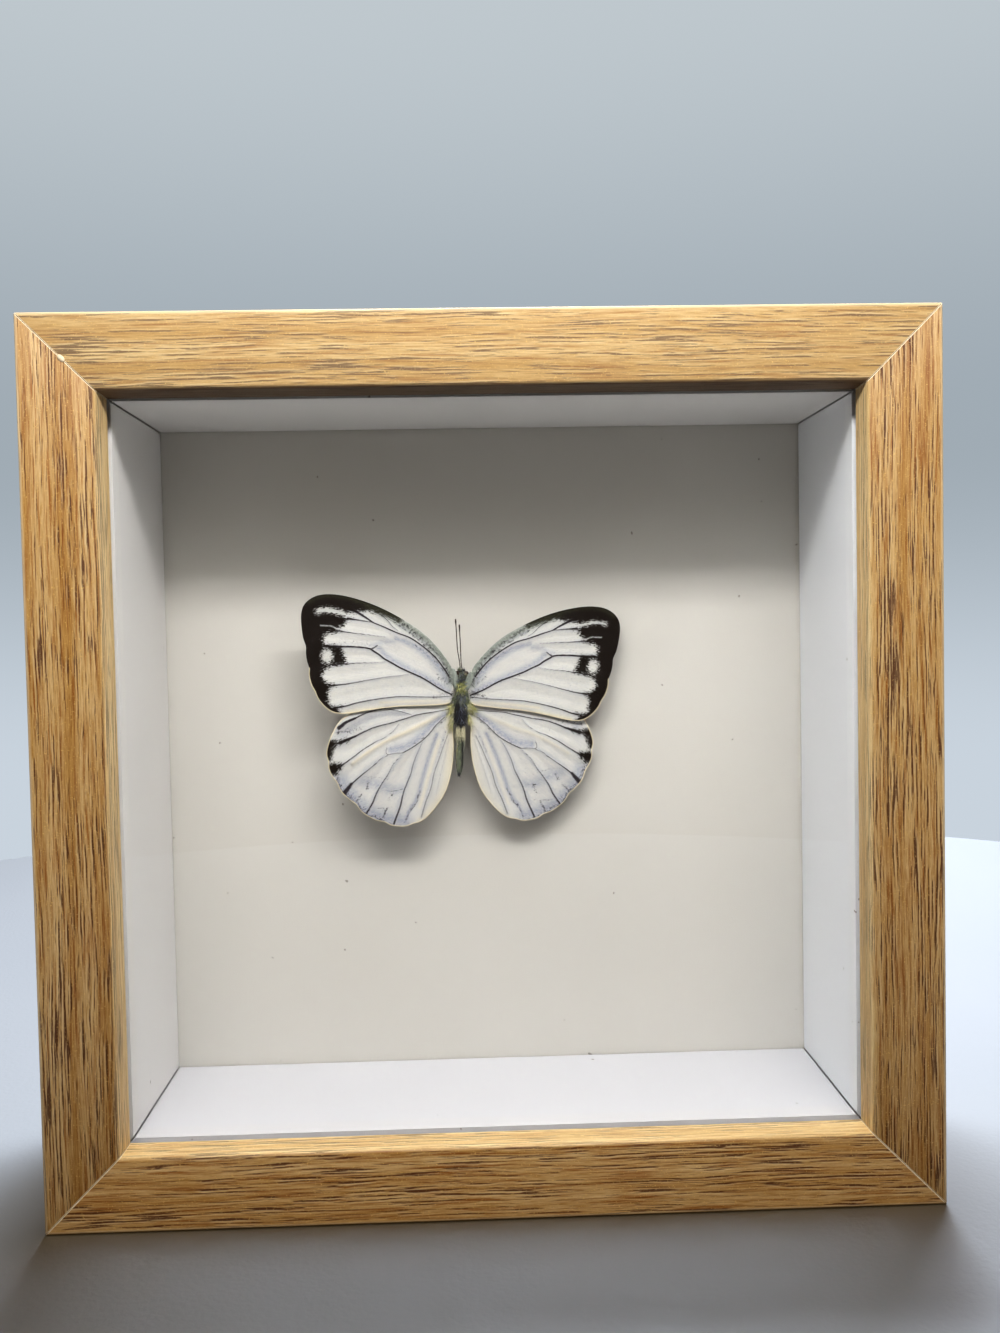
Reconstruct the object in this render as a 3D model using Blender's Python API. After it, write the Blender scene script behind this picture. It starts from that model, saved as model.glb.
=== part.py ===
"""A pinned white butterfly in a square shadow-box frame with wood-effect rails.

Metres, +Z up. The frame stands on its bottom rail and faces -Y, and the origin is the middle
of the footprint: x = 0 and y = 0 are the frame's own centre planes, z = 0 is the underside.

Depths are counted from the front face backwards (+Y). The butterfly has its own flat layout
of millimetre points: u to its right-hand side as seen from the front, v towards its head.
"""
import math

import bmesh
import bpy
from mathutils import Matrix, Vector

MM = 0.001
GAP = 0.3 * MM              # clearance between pieces that touch

# ---- driving dimensions -------------------------------------------------------------------
OUTER = 150 * MM            # outside width and height of the frame
DEPTH = 46 * MM             # front face to rear edge of the rails
LIP_DEPTH = 4.4 * MM        # thickness of the lip that holds the glass in
FACE_WIDTH = 12.5 * MM      # rail width seen on the front face
LIP_DRAFT = 0.6 * MM        # how much the lip's inner face slopes inward to the glass
RAIL_SIDE = 9.0 * MM        # thickness of the rail beside the glass and boards
EDGE_RADIUS = 1.1 * MM      # rounded outer front edge
INNER_RADIUS = 0.7 * MM     # rounded inner front edge
GLASS = 2.0 * MM
WALL_BACK = 38.1 * MM       # depth at which the white walls end
MOUNT_BOARD = 2.0 * MM
BACKBOARD = 3.0 * MM

TAB_WIDTH = 6.0 * MM
TAB_REACH = 9.0 * MM
TAB_THICKNESS = 0.5 * MM
TAB_SPREAD = 38 * MM        # tabs sit this far either side of each rail's middle

HANGER_LENGTH = 40 * MM
HANGER_HEIGHT = 8 * MM
HANGER_THICKNESS = 0.8 * MM
HANGER_DROP = 20 * MM       # from the top of the frame to the hanger's middle
HANGER_TEETH = 11
TOOTH_HEIGHT = 1.6 * MM
NAIL_INSET = 4.5 * MM
NAIL_SHANK = 0.6 * MM
NAIL_HEAD = 1.6 * MM
NAIL_HEAD_HEIGHT = 0.45 * MM
NAIL_HOLE = 0.95 * MM
NAIL_BITE = 2.3 * MM        # how far the nail goes into the backboard

# ---- the butterfly ------------------------------------------------------------------------
FLY_X = -5.1 * MM           # thorax from the frame's centre line
FLY_Z = 84.6 * MM           # thorax above the underside
FLY_DEPTH = 31.4 * MM       # thorax centre behind the front face
WING_DEPTH = 30.6 * MM      # wing roots behind the front face
FLY_TURN = math.radians(3.6)    # the specimen is turned clockwise, seen from the front
FLY_ROLL = 0.13             # slope that brings its left-hand wings nearer the glass
WING_DROOP = 0.6            # mm that the lower hindwings fall back towards the board
WING_LAYER = 0.35           # mm from the middle plane to each wing layer
WING_THICKNESS = 0.3 * MM
WING_RINGS = 3
HINDWING_TURN = math.radians(4.5)    # right one swung outward, left one inward
HINDWING_ROOT = (2.0, -1.0)

# Right-hand wings, mm, clockwise from the root's front corner.
FOREWING_OUTLINE = [
    (1.75, 2.4), (1.7, 4.2), (2.4, 6.8), (6.6, 11.6), (11.5, 14.8), (17.0, 17.3), (22.5, 18.7),
    (26.5, 18.7), (29.0, 17.4), (30.0, 15.3), (29.8, 12.0), (28.9, 7.6), (28.3, 3.8),
    (27.2, 0.6), (25.3, -1.9), (23.2, -3.1), (20.6, -3.1), (17.0, -2.4), (12.0, -1.6),
    (6.6, -1.2), (2.1, -0.5)]
HINDWING_OUTLINE = [
    (2.0, -1.6), (4.5, 0.1), (9.0, 0.9), (14.0, 0.5), (18.0, -0.5), (20.8, -1.8), (22.9, -3.4),
    (24.4, -5.9), (25.3, -8.5), (25.3, -11.0), (24.4, -13.6), (23.1, -16.1), (21.5, -18.0),
    (19.1, -20.6), (16.0, -22.6), (13.0, -23.5), (10.2, -23.6), (7.5, -22.4), (5.4, -20.3),
    (3.4, -17.3), (2.1, -13.0), (1.6, -8.4), (1.8, -4.5)]
OUTLINE_STEPS = 2           # spline points for each outline point

HEAD = dict(centre=(0.0, 4.7), half=(1.15, 1.2, 1.2))
THORAX = dict(centre=(0.1, -1.0), half=(1.55, 4.1, 2.0))
ABDOMEN_PROFILE = [(-5.5, 0.0), (-5.6, 0.75), (-7.2, 0.85), (-9.5, 0.7), (-12.0, 0.75),
                   (-13.5, 0.55), (-14.4, 0.2), (-14.6, 0.0)]
ABDOMEN_SIDES = 14
ABDOMEN_MIDDLE = 0.3        # u of the abdomen's axis
ANTENNAE = {
    "antenna_left": [(-0.42, 6.3), (-0.5, 7.9), (-0.85, 10.2), (-1.3, 12.8), (-1.65, 15.3)],
    "antenna_right": [(0.25, 6.3), (0.2, 7.9), (-0.1, 10.2), (-0.55, 12.4), (-0.9, 14.3)]}
ANTENNA_RADIUS = 0.12 * MM
RISER_SIZE = (2.6 * MM, 6.0 * MM)

# ---- derived ------------------------------------------------------------------------------
HALF = OUTER / 2
FRONT = -DEPTH / 2
LIP_WIDTH = FACE_WIDTH + LIP_DRAFT
INSIDE = HALF - RAIL_SIDE - GAP              # half size of everything held in the rebate
WALL_THICKNESS = LIP_WIDTH - RAIL_SIDE - GAP
GLASS_FRONT = LIP_DEPTH + GAP
WALL_FRONT = GLASS_FRONT + GLASS + GAP
BOARD_FRONT = WALL_BACK + GAP
BACKBOARD_FRONT = BOARD_FRONT + MOUNT_BOARD + GAP
BACKBOARD_REAR = BACKBOARD_FRONT + BACKBOARD
FITTING_FRONT = BACKBOARD_REAR + GAP
MITRE_GAP = GAP / math.sqrt(2)

FINISHES = {
    "oak_foil": ((0.55, 0.34, 0.14), 0.45, 0.0),
    "clear_glass": ((0.92, 0.96, 0.95), 0.03, 0.0),
    "white_wall": ((0.82, 0.82, 0.83), 0.5, 0.0),
    "cream_board": ((0.78, 0.76, 0.69), 0.85, 0.0),
    "brown_hardboard": ((0.32, 0.2, 0.11), 0.8, 0.0),
    "bent_steel": ((0.5, 0.5, 0.5), 0.35, 1.0),
    "brassed_steel": ((0.7, 0.52, 0.25), 0.35, 1.0),
    "foam": ((0.85, 0.85, 0.82), 0.9, 0.0),
    "white_wing": ((0.85, 0.86, 0.84), 0.8, 0.0),
    "dark_body": ((0.09, 0.09, 0.08), 0.8, 0.0)}


def clear_scene():
    for obj in list(bpy.data.objects):
        bpy.data.objects.remove(obj)


def finish(name):
    colour, roughness, metallic = FINISHES[name]
    material = bpy.data.materials.get(name) or bpy.data.materials.new(name)
    material.use_nodes = True
    shader = material.node_tree.nodes["Principled BSDF"]
    shader.inputs["Base Color"].default_value = (*colour, 1)
    shader.inputs["Roughness"].default_value = roughness
    shader.inputs["Metallic"].default_value = metallic
    return material


def add_object(name, bm, material, smooth=False):
    """Close up a bmesh into a named, outward-facing object."""
    bmesh.ops.remove_doubles(bm, verts=bm.verts, dist=0.01 * MM)
    bmesh.ops.recalc_face_normals(bm, faces=bm.faces)
    mesh = bpy.data.meshes.new(name)
    bm.to_mesh(mesh)
    bm.free()
    if smooth:
        mesh.shade_smooth()
        mesh.set_sharp_from_angle(angle=math.radians(40))
    obj = bpy.data.objects.new(name, mesh)
    bpy.context.scene.collection.objects.link(obj)
    mesh.materials.append(finish(material))
    return obj


def box(name, low, high, material):
    bm = bmesh.new()
    bmesh.ops.create_cube(bm, size=1)
    size = [h - l for l, h in zip(low, high)]
    centre = [(h + l) / 2 for l, h in zip(low, high)]
    bmesh.ops.scale(bm, vec=size, verts=bm.verts)
    bmesh.ops.translate(bm, vec=centre, verts=bm.verts)
    return add_object(name, bm, material)


def arc(centre, radius, start, end, steps=4):
    """Points on a circle between two angles in degrees."""
    points = []
    for i in range(steps + 1):
        angle = math.radians(start + (end - start) * i / steps)
        points.append((centre[0] + radius * math.cos(angle), centre[1] + radius * math.sin(angle)))
    return points


# ---- frame --------------------------------------------------------------------------------
def mitred_bar(name, section, material):
    """A horizontal bar from (inward, depth) section points, with 45 degree ends.

    Inward is counted from the frame's outer edge, so each end's x grows shorter with it.
    """
    bm = bmesh.new()
    ends = []
    for side in (-1, 1):
        loop = []
        for inward, depth in section:
            x = side * (HALF - inward - MITRE_GAP)
            loop.append(bm.verts.new((x, FRONT + depth, OUTER - inward)))
        ends.append(loop)
        bm.faces.new(loop)
    left, right = ends
    count = len(section)
    for i in range(count):
        j = (i + 1) % count
        bm.faces.new((left[i], left[j], right[j], right[i]))
    return add_object(name, bm, material)


def four_sides(prefix, section, material):
    """The same bar on all four sides, turned about the frame's middle."""
    for i, side in enumerate(("top", "left", "bottom", "right")):
        bar = mitred_bar(f"{prefix}_{side}", section, material)
        bar.rotation_euler.y = -i * math.pi / 2
        turned = Vector((0, 0, HALF))
        turned.rotate(bar.rotation_euler)
        bar.location = Vector((0, 0, HALF)) - turned


def rail_section():
    outer_edge = arc((EDGE_RADIUS, EDGE_RADIUS), EDGE_RADIUS, 180, 270)
    inner_edge = arc((FACE_WIDTH - INNER_RADIUS, INNER_RADIUS), INNER_RADIUS, 270, 360, 3)
    return [(0, DEPTH)] + outer_edge + inner_edge + [
        (LIP_WIDTH, LIP_DEPTH), (RAIL_SIDE, LIP_DEPTH), (RAIL_SIDE, DEPTH)]


def wall_section():
    outer = RAIL_SIDE + GAP
    inner = outer + WALL_THICKNESS
    return [(outer, WALL_FRONT), (inner, WALL_FRONT), (inner, WALL_BACK), (outer, WALL_BACK)]


def panel(name, depth, thickness, material):
    """A square sheet that fills the rebate."""
    low = (-INSIDE, FRONT + depth, HALF - INSIDE)
    high = (INSIDE, FRONT + depth + thickness, HALF + INSIDE)
    return box(name, low, high, material)


# ---- fittings on the back -----------------------------------------------------------------
def extruded(name, outline, depth, thickness, material):
    """An (x, z) outline made into a plate whose front is at the given depth."""
    bm = bmesh.new()
    face = bm.faces.new([bm.verts.new((x, FRONT + depth, z)) for x, z in outline])
    grown = bmesh.ops.extrude_face_region(bm, geom=[face])["geom"]
    moved = [item for item in grown if isinstance(item, bmesh.types.BMVert)]
    bmesh.ops.translate(bm, vec=(0, thickness, 0), verts=moved)
    return add_object(name, bm, material)


def retaining_tabs():
    """Bent steel tongues, two to a side, that hold the backboard in."""
    half = TAB_WIDTH / 2
    root = HALF - RAIL_SIDE - GAP
    tongue = [(root, -half), (root, half)]
    tongue += arc((root - TAB_REACH + half, 0), half, 90, 270, 6)
    number = 0
    for quarter in range(4):
        angle = quarter * math.pi / 2
        for along in (-TAB_SPREAD, TAB_SPREAD):
            number += 1
            outline = []
            for x, z in tongue:
                z += along
                outline.append((x * math.cos(angle) - z * math.sin(angle),
                                HALF + x * math.sin(angle) + z * math.cos(angle)))
            extruded(f"backing_tab_{number}", outline, FITTING_FRONT, TAB_THICKNESS, "bent_steel")


def cylinder(radius, depth, length, x, z, sides):
    bm = bmesh.new()
    bmesh.ops.create_cone(bm, cap_ends=True, segments=sides, radius1=radius, radius2=radius,
                          depth=length)
    bmesh.ops.rotate(bm, cent=(0, 0, 0), verts=bm.verts,
                     matrix=Matrix.Rotation(math.pi / 2, 3, "X"))
    bmesh.ops.translate(bm, vec=(x, FRONT + depth + length / 2, z), verts=bm.verts)
    return bm


def drill(target, x, z, depth):
    """Cut a nail hole through to the open side from the given depth, with a hidden cutter."""
    bore = cylinder(NAIL_HOLE, depth, 4 * MM, x, z, 12)
    cutter = add_object(f"{target.name}_hole_{'left' if x < 0 else 'right'}", bore, "bent_steel")
    cutter.hide_render = True
    cutter.display_type = "WIRE"
    cut = target.modifiers.new("nail hole", "BOOLEAN")
    cut.operation = "DIFFERENCE"
    cut.solver = "EXACT"
    cut.object = cutter


def sawtooth_hanger(backboard):
    """A toothed plate nailed to the backboard, and its two nails."""
    middle = OUTER - HANGER_DROP
    half = HANGER_LENGTH / 2
    top = middle + HANGER_HEIGHT / 2
    bottom = middle - HANGER_HEIGHT / 2
    teeth_half = half - 2 * NAIL_INSET
    pitch = 2 * teeth_half / HANGER_TEETH
    outline = [(-half, bottom), (-half, top), (half, top), (half, bottom)]
    for i in range(HANGER_TEETH):
        right = teeth_half - i * pitch
        outline += [(right, bottom), (right - pitch / 2, bottom + TOOTH_HEIGHT)]
    outline.append((-teeth_half, bottom))
    plate = extruded("hanger_plate", outline, FITTING_FRONT, HANGER_THICKNESS, "brassed_steel")

    for side, name in ((-1, "hanger_nail_left"), (1, "hanger_nail_right")):
        x = side * (half - NAIL_INSET)
        drill(plate, x, middle, FITTING_FRONT - MM)
        drill(backboard, x, middle, BACKBOARD_REAR - NAIL_BITE - GAP)
        nail_at(name, x, middle)


def nail_at(name, x, z):
    """A turned nail: shank in the backboard, low domed head on the plate."""
    tip = BACKBOARD_REAR - NAIL_BITE
    seat = FITTING_FRONT + HANGER_THICKNESS + GAP
    crown = seat + NAIL_HEAD_HEIGHT
    profile = [(0, tip), (NAIL_SHANK, tip + NAIL_SHANK), (NAIL_SHANK, seat), (NAIL_HEAD, seat),
               (NAIL_HEAD * 0.9, crown - NAIL_HEAD_HEIGHT / 2), (NAIL_HEAD / 2, crown - 0.05 * MM),
               (0, crown)]
    bm = bmesh.new()
    verts = [bm.verts.new((x + r, FRONT + depth, z)) for r, depth in profile]
    edges = [bm.edges.new(pair) for pair in zip(verts, verts[1:])]
    bmesh.ops.spin(bm, geom=verts + edges, cent=(x, 0, z), axis=(0, 1, 0), angle=math.tau,
                   steps=12, use_merge=True)
    add_object(name, bm, "bent_steel", smooth=True)


# ---- butterfly ----------------------------------------------------------------------------
def place(u, v, forward=0.0, depth=WING_DEPTH):
    """World point of a layout point in mm, standing forward mm off the given depth."""
    x = u * math.cos(FLY_TURN) + v * math.sin(FLY_TURN)
    z = v * math.cos(FLY_TURN) - u * math.sin(FLY_TURN)
    return Vector((FLY_X + x * MM, FRONT + depth - forward * MM, FLY_Z + z * MM))


def wing_lift(u, v):
    """How far the wings stand forward of their roots' depth, mm."""
    return -FLY_ROLL * u - WING_DROOP * (max(0.0, -v) / 23) ** 1.5


def spline(points, steps):
    """A closed Catmull-Rom curve through the points."""
    count = len(points)
    out = []
    for i in range(count):
        p0, p1, p2, p3 = (Vector(points[(i + k) % count]) for k in (-1, 0, 1, 2))
        for s in range(steps):
            t = s / steps
            out.append(0.5 * (2 * p1 + (p2 - p0) * t + (2 * p0 - 5 * p1 + 4 * p2 - p3) * t * t
                              + (3 * p1 - p0 - 3 * p2 + p3) * t ** 3))
    return out


def wing(name, outline, side, layer, turn=0.0):
    """A bent sheet of even thickness, ringed inward from its outline to its middle."""
    root = Vector(HINDWING_ROOT)
    turned = Matrix.Rotation(turn, 2)
    rim = [root + turned @ (point - root) for point in spline(outline, OUTLINE_STEPS)]
    middle = sum(rim, Vector((0, 0))) / len(rim)
    half = WING_THICKNESS / MM / 2
    bm = bmesh.new()

    def sheet(forward):
        rings = []
        for ring in range(WING_RINGS):
            share = 1 - ring / WING_RINGS
            loop = []
            for point in rim:
                u, v = middle + (point - middle) * share
                loop.append(bm.verts.new(place(side * u, v, wing_lift(side * u, v) + forward)))
            rings.append(loop)
        u, v = middle
        hub = bm.verts.new(place(side * u, v, wing_lift(side * u, v) + forward))
        for outer, inner in zip(rings, rings[1:]):
            for i in range(len(outer)):
                j = (i + 1) % len(outer)
                bm.faces.new((outer[i], outer[j], inner[j], inner[i]))
        for i in range(len(rim)):
            bm.faces.new((rings[-1][i], rings[-1][(i + 1) % len(rim)], hub))
        return rings[0]

    front = sheet(layer + half)
    back = sheet(layer - half)
    for i in range(len(rim)):
        j = (i + 1) % len(rim)
        bm.faces.new((front[i], front[j], back[j], back[i]))
    return add_object(name, bm, "white_wing", smooth=True)


def ellipsoid(name, centre, half, segments, rings):
    """A body segment: half sizes are across, along and front to back, mm."""
    bm = bmesh.new()
    bmesh.ops.create_uvsphere(bm, u_segments=segments, v_segments=rings, radius=1)
    for vert in bm.verts:
        across, deep, along = vert.co
        vert.co = place(centre[0] + across * half[0], centre[1] + along * half[1],
                        -deep * half[2], FLY_DEPTH)
    return add_object(name, bm, "dark_body", smooth=True)


def abdomen():
    """A slim turned form from the waist to the tail."""
    bm = bmesh.new()
    verts = [bm.verts.new((radius, 0, v)) for v, radius in ABDOMEN_PROFILE]
    edges = [bm.edges.new(pair) for pair in zip(verts, verts[1:])]
    bmesh.ops.spin(bm, geom=verts + edges, cent=(0, 0, 0), axis=(0, 0, 1), angle=math.tau,
                   steps=ABDOMEN_SIDES, use_merge=True)
    for vert in bm.verts:
        across, deep, along = vert.co
        vert.co = place(ABDOMEN_MIDDLE + across, along, -deep, FLY_DEPTH)
    add_object("abdomen", bm, "dark_body", smooth=True)


def antenna(name, points):
    curve = bpy.data.curves.new(name, "CURVE")
    curve.dimensions = "3D"
    curve.bevel_depth = ANTENNA_RADIUS
    curve.bevel_resolution = 1
    curve.use_fill_caps = True
    run = curve.splines.new("POLY")
    run.points.add(len(points) - 1)
    for target, (u, v) in zip(run.points, points):
        target.co = (*place(u, v, 0, FLY_DEPTH), 1)
    obj = bpy.data.objects.new(name, curve)
    bpy.context.scene.collection.objects.link(obj)
    curve.materials.append(finish("dark_body"))


def riser():
    """The foam pad that holds the thorax off the mount board."""
    front = FLY_DEPTH + THORAX["half"][2] * MM + GAP
    centre = place(*THORAX["centre"], 0, front)
    width, height = RISER_SIZE
    low = (centre.x - width / 2, FRONT + front, centre.z - height / 2)
    high = (centre.x + width / 2, FRONT + BOARD_FRONT - GAP, centre.z + height / 2)
    box("foam_riser", low, high, "foam")


def butterfly():
    wing("forewing_left", FOREWING_OUTLINE, -1, WING_LAYER)
    wing("forewing_right", FOREWING_OUTLINE, 1, WING_LAYER)
    wing("hindwing_left", HINDWING_OUTLINE, -1, -WING_LAYER, -HINDWING_TURN)
    wing("hindwing_right", HINDWING_OUTLINE, 1, -WING_LAYER, HINDWING_TURN)
    ellipsoid("head", HEAD["centre"], HEAD["half"], 12, 8)
    ellipsoid("thorax", THORAX["centre"], THORAX["half"], 16, 12)
    abdomen()
    for name, points in ANTENNAE.items():
        antenna(name, points)
    riser()


clear_scene()
four_sides("rail", rail_section(), "oak_foil")
panel("glass_pane", GLASS_FRONT, GLASS, "clear_glass")
four_sides("wall", wall_section(), "white_wall")
panel("mount_board", BOARD_FRONT, MOUNT_BOARD, "cream_board")
backing = panel("backboard", BACKBOARD_FRONT, BACKBOARD, "brown_hardboard")
retaining_tabs()
sawtooth_hanger(backing)
butterfly()
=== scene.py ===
# %% [markdown]
# # A framed butterfly specimen
#
# A square shadow box: four oak-look rails, a clear pane, white inner walls and a pale board,
# with one spread white butterfly inside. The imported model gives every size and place. This
# script adds the finishes, the wood grain, the wings with their veins, and the fur.

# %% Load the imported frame
import math

import bmesh
import bpy
import numpy as np
from mathutils import Matrix, Vector


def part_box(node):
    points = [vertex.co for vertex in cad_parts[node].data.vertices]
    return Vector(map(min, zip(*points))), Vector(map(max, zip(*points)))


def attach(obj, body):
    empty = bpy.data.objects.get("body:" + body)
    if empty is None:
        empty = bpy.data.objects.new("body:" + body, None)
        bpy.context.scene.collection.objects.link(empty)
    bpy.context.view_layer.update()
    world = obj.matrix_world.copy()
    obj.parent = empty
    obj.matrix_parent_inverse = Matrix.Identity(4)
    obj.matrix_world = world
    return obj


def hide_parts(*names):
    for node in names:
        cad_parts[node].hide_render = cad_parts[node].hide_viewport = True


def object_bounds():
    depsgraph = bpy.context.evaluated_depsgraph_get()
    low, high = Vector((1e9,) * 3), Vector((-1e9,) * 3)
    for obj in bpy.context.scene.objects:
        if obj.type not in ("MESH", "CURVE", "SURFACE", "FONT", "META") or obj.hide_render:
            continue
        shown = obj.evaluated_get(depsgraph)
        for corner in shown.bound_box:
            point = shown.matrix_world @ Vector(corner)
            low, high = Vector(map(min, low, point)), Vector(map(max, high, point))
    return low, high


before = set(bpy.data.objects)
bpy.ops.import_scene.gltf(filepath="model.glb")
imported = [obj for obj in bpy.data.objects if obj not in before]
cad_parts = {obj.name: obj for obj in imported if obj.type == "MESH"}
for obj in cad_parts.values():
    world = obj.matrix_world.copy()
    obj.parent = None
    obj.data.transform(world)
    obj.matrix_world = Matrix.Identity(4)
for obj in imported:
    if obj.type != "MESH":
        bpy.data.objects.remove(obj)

CAD_LOW, CAD_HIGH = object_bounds()
print("box of the packed model:", [round(v, 4) for v in (*CAD_LOW, *CAD_HIGH)])

# %% [markdown]
# ## The sizes that everything shares
#
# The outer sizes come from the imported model's own boxes, so the looks can't drift away from
# it. +Z is up and the front faces -Y, so depth is counted from the front face towards +Y.

# %% Shared sizes
MM = 0.001
FRONT = CAD_LOW.y
DEPTH = CAD_HIGH.y - CAD_LOW.y
OUTER = CAD_HIGH.x - CAD_LOW.x
MIDDLE = Vector((0.0, 0.0, (CAD_LOW.z + CAD_HIGH.z) / 2))
LIP_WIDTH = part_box("rail_bottom")[1].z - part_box("rail_bottom")[0].z
print("rail is", round(LIP_WIDTH / MM, 2), "mm wide at its lip and", round(DEPTH / MM, 1), "mm deep")

# %% [markdown]
# ## The camera
#
# It stands close in front, a little above the middle, and looks almost level. A short
# distance gives the strong perspective into the box, so its place matters more than its lens.

# %% Camera
camera_data = bpy.data.cameras.new("camera")
camera = bpy.data.objects.new("camera", camera_data)
bpy.context.scene.collection.objects.link(camera)
bpy.context.scene.camera = camera
EYE_POINT = (-0.0042, -0.2102, 0.0990)
EYE_TILT = (87.85, 1.10, -1.79)
camera.location = EYE_POINT
camera.rotation_euler = [math.radians(angle) for angle in EYE_TILT]
camera_data.lens = 31.06
camera_data.sensor_width = 36.0
camera_data.clip_start = 0.01
bpy.context.scene.view_settings.view_transform = "Standard"
bpy.context.scene.view_settings.gamma = 0.85
print("camera at", tuple(round(v, 4) for v in camera.location))

# %% [markdown]
# ## Small helpers for materials
#
# A material is a tree of nodes. These helpers add one node each and hand back its output, so
# a finish further down reads like a recipe: coordinates, then a pattern, then a colour.

# %% Node helpers
def colour(red, green, blue):
    """A colour as the eye reads it, 0 to 255, turned into the linear values a shader uses."""
    def linear(value):
        share = value / 255
        return share / 12.92 if share <= 0.04045 else ((share + 0.055) / 1.055) ** 2.4
    return (linear(red), linear(green), linear(blue), 1.0)


def node(tree, kind, settings=None, inputs=None):
    """Adds a node, sets its options, and fills or links its inputs."""
    made = tree.nodes.new("ShaderNode" + kind)
    for name, value in (settings or {}).items():
        setattr(made, name, value)
    for name, value in (inputs or {}).items():
        if isinstance(value, bpy.types.NodeSocket):
            tree.links.new(value, made.inputs[name])
        else:
            made.inputs[name].default_value = value
    return made


def new_finish(name, **sockets):
    """A material with a fresh Principled shader, whose plain values are set on its sockets."""
    material = bpy.data.materials.new(name)
    material.use_nodes = True
    tree = material.node_tree
    shader = tree.nodes["Principled BSDF"]
    for socket, value in sockets.items():
        shader.inputs[socket.replace("_", " ")].default_value = value
    return material, tree, shader


def stretched(tree, vector, scale, shift=(0.0, 0.0, 0.0)):
    return node(tree, "Mapping", {}, {"Vector": vector, "Scale": scale, "Location": shift}).outputs[0]


def noise(tree, vector, scale=1.0, detail=3.0, rough=0.5, bend=0.0):
    inputs = {"Vector": vector, "Scale": scale, "Detail": detail, "Roughness": rough, "Distortion": bend}
    return node(tree, "TexNoise", {}, inputs).outputs["Fac"]


def spread(tree, value, low, high, to_low=0.0, to_high=1.0):
    """Stretches a value from low..high to another range, with soft ends."""
    inputs = {"Value": value, "From Min": low, "From Max": high, "To Min": to_low, "To Max": to_high}
    return node(tree, "MapRange", {"interpolation_type": "SMOOTHSTEP"}, inputs).outputs["Result"]


def sums(tree, operation, *numbers):
    return node(tree, "Math", {"operation": operation}, dict(enumerate(numbers))).outputs[0]


def times(tree, first, second):
    return sums(tree, "MULTIPLY", first, second)


def roughened(tree, pattern, amount, field):
    """A field with a pattern added to it, which breaks up its edges."""
    return sums(tree, "MULTIPLY_ADD", sums(tree, "SUBTRACT", pattern, 0.5), amount, field)


print("pattern helpers ready")


# %% Paint helpers
def blended(tree, share, first, second, how="MIX"):
    """Mixes two colours."""
    made = node(tree, "Mix", {"data_type": "RGBA", "blend_type": how}, {0: share, 6: first, 7: second})
    return made.outputs[2]


def layered(tree, base, *layers):
    """Lays colours over a base, each where its share is 1."""
    for share, shade in layers:
        base = blended(tree, share, base, colour(*shade))
    return base


def tinted(tree, kept, base, tint):
    """Multiplies a colour by a tint, except where kept is 1."""
    return blended(tree, kept, blended(tree, 1.0, base, colour(*tint), "MULTIPLY"), base)


def painted(tree, shader, value, socket="Base Color"):
    tree.links.new(value, shader.inputs[socket])


def bumped(tree, shader, height, distance, strength=1.0):
    made = node(tree, "Bump", {}, {"Height": height, "Distance": distance, "Strength": strength})
    tree.links.new(made.outputs[0], shader.inputs["Normal"])


def own_coordinates(tree):
    return node(tree, "TexCoord").outputs["Object"]


def cells(tree, scale):
    """Distance to the middle of the nearest of many small cells."""
    inputs = {"Vector": own_coordinates(tree), "Scale": scale}
    return node(tree, "TexVoronoi", {"feature": "F1"}, inputs).outputs["Distance"]


def own_value(tree, name):
    """A value that the piece's mesh carries at every point."""
    return node(tree, "Attribute", {"attribute_name": name}).outputs["Fac"]


print("paint helpers ready")

# %% [markdown]
# ## Light, world and floor
#
# The box is lit by one strip lamp just above and in front of it. The strip is close, so the
# top rail is about three times as bright as the bottom one, and the top lip throws a soft-edged
# shadow across the board. A wide lamp behind keeps the floor, the top and the back bright.

# %% Lamps
def soft_lamp(name, place, aim, width, height, watts, tint):
    data = bpy.data.lights.new(name, "AREA")
    data.shape = "RECTANGLE"
    data.size = width
    data.size_y = height
    data.energy = watts
    data.color = colour(*tint)[:3]
    lamp = bpy.data.objects.new(name, data)
    bpy.context.scene.collection.objects.link(lamp)
    lamp.location = place
    lamp.rotation_euler = (Vector(aim) - Vector(place)).to_track_quat("-Z", "Y").to_euler()
    lamp.visible_camera = False
    return lamp


# each lamp: where it hangs, what it is aimed at, its width and height, its watts and tint
strip_lamp = soft_lamp("strip_lamp", (0.005, -0.1763, 0.2666), (0.0, 0.0, 0.085),
                       0.28, 0.029, 0.755, (255, 252, 249))
soft_lamp("overhead_lamp", (0.02, 0.17, 0.80), (0.0, 0.05, 0.0), 0.24, 0.14, 6.4, (255, 253, 246))
soft_lamp("back_lamp", (0.30, 0.62, 0.34), (0.0, 0.02, 0.07), 0.4, 0.3, 2.4, (244, 248, 255))
print("three lamps")

# %% World
world = bpy.data.worlds.new("room")
bpy.context.scene.world = world
world.use_nodes = True
room = world.node_tree
plain = room.nodes["Background"]
plain.inputs["Color"].default_value = colour(220, 176, 108)
plain.inputs["Strength"].default_value = 0.162
height = node(room, "SeparateXYZ", {}, {0: node(room, "TexCoord").outputs["Generated"]}).outputs["Z"]
sky = blended(room, spread(room, height, 0.16, 0.50), colour(172, 182, 190), colour(200, 208, 213))
sky = blended(room, spread(room, height, -0.12, 0.14), colour(208, 217, 226), sky)
seen = node(room, "Background", {}, {"Color": sky, "Strength": 1.0})
camera_share = node(room, "LightPath").outputs["Is Camera Ray"]
both = node(room, "MixShader", {}, {0: camera_share, 1: plain.outputs[0], 2: seen.outputs[0]})
room.links.new(both.outputs[0], room.nodes["World Output"].inputs["Surface"])
print("world ready")

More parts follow.
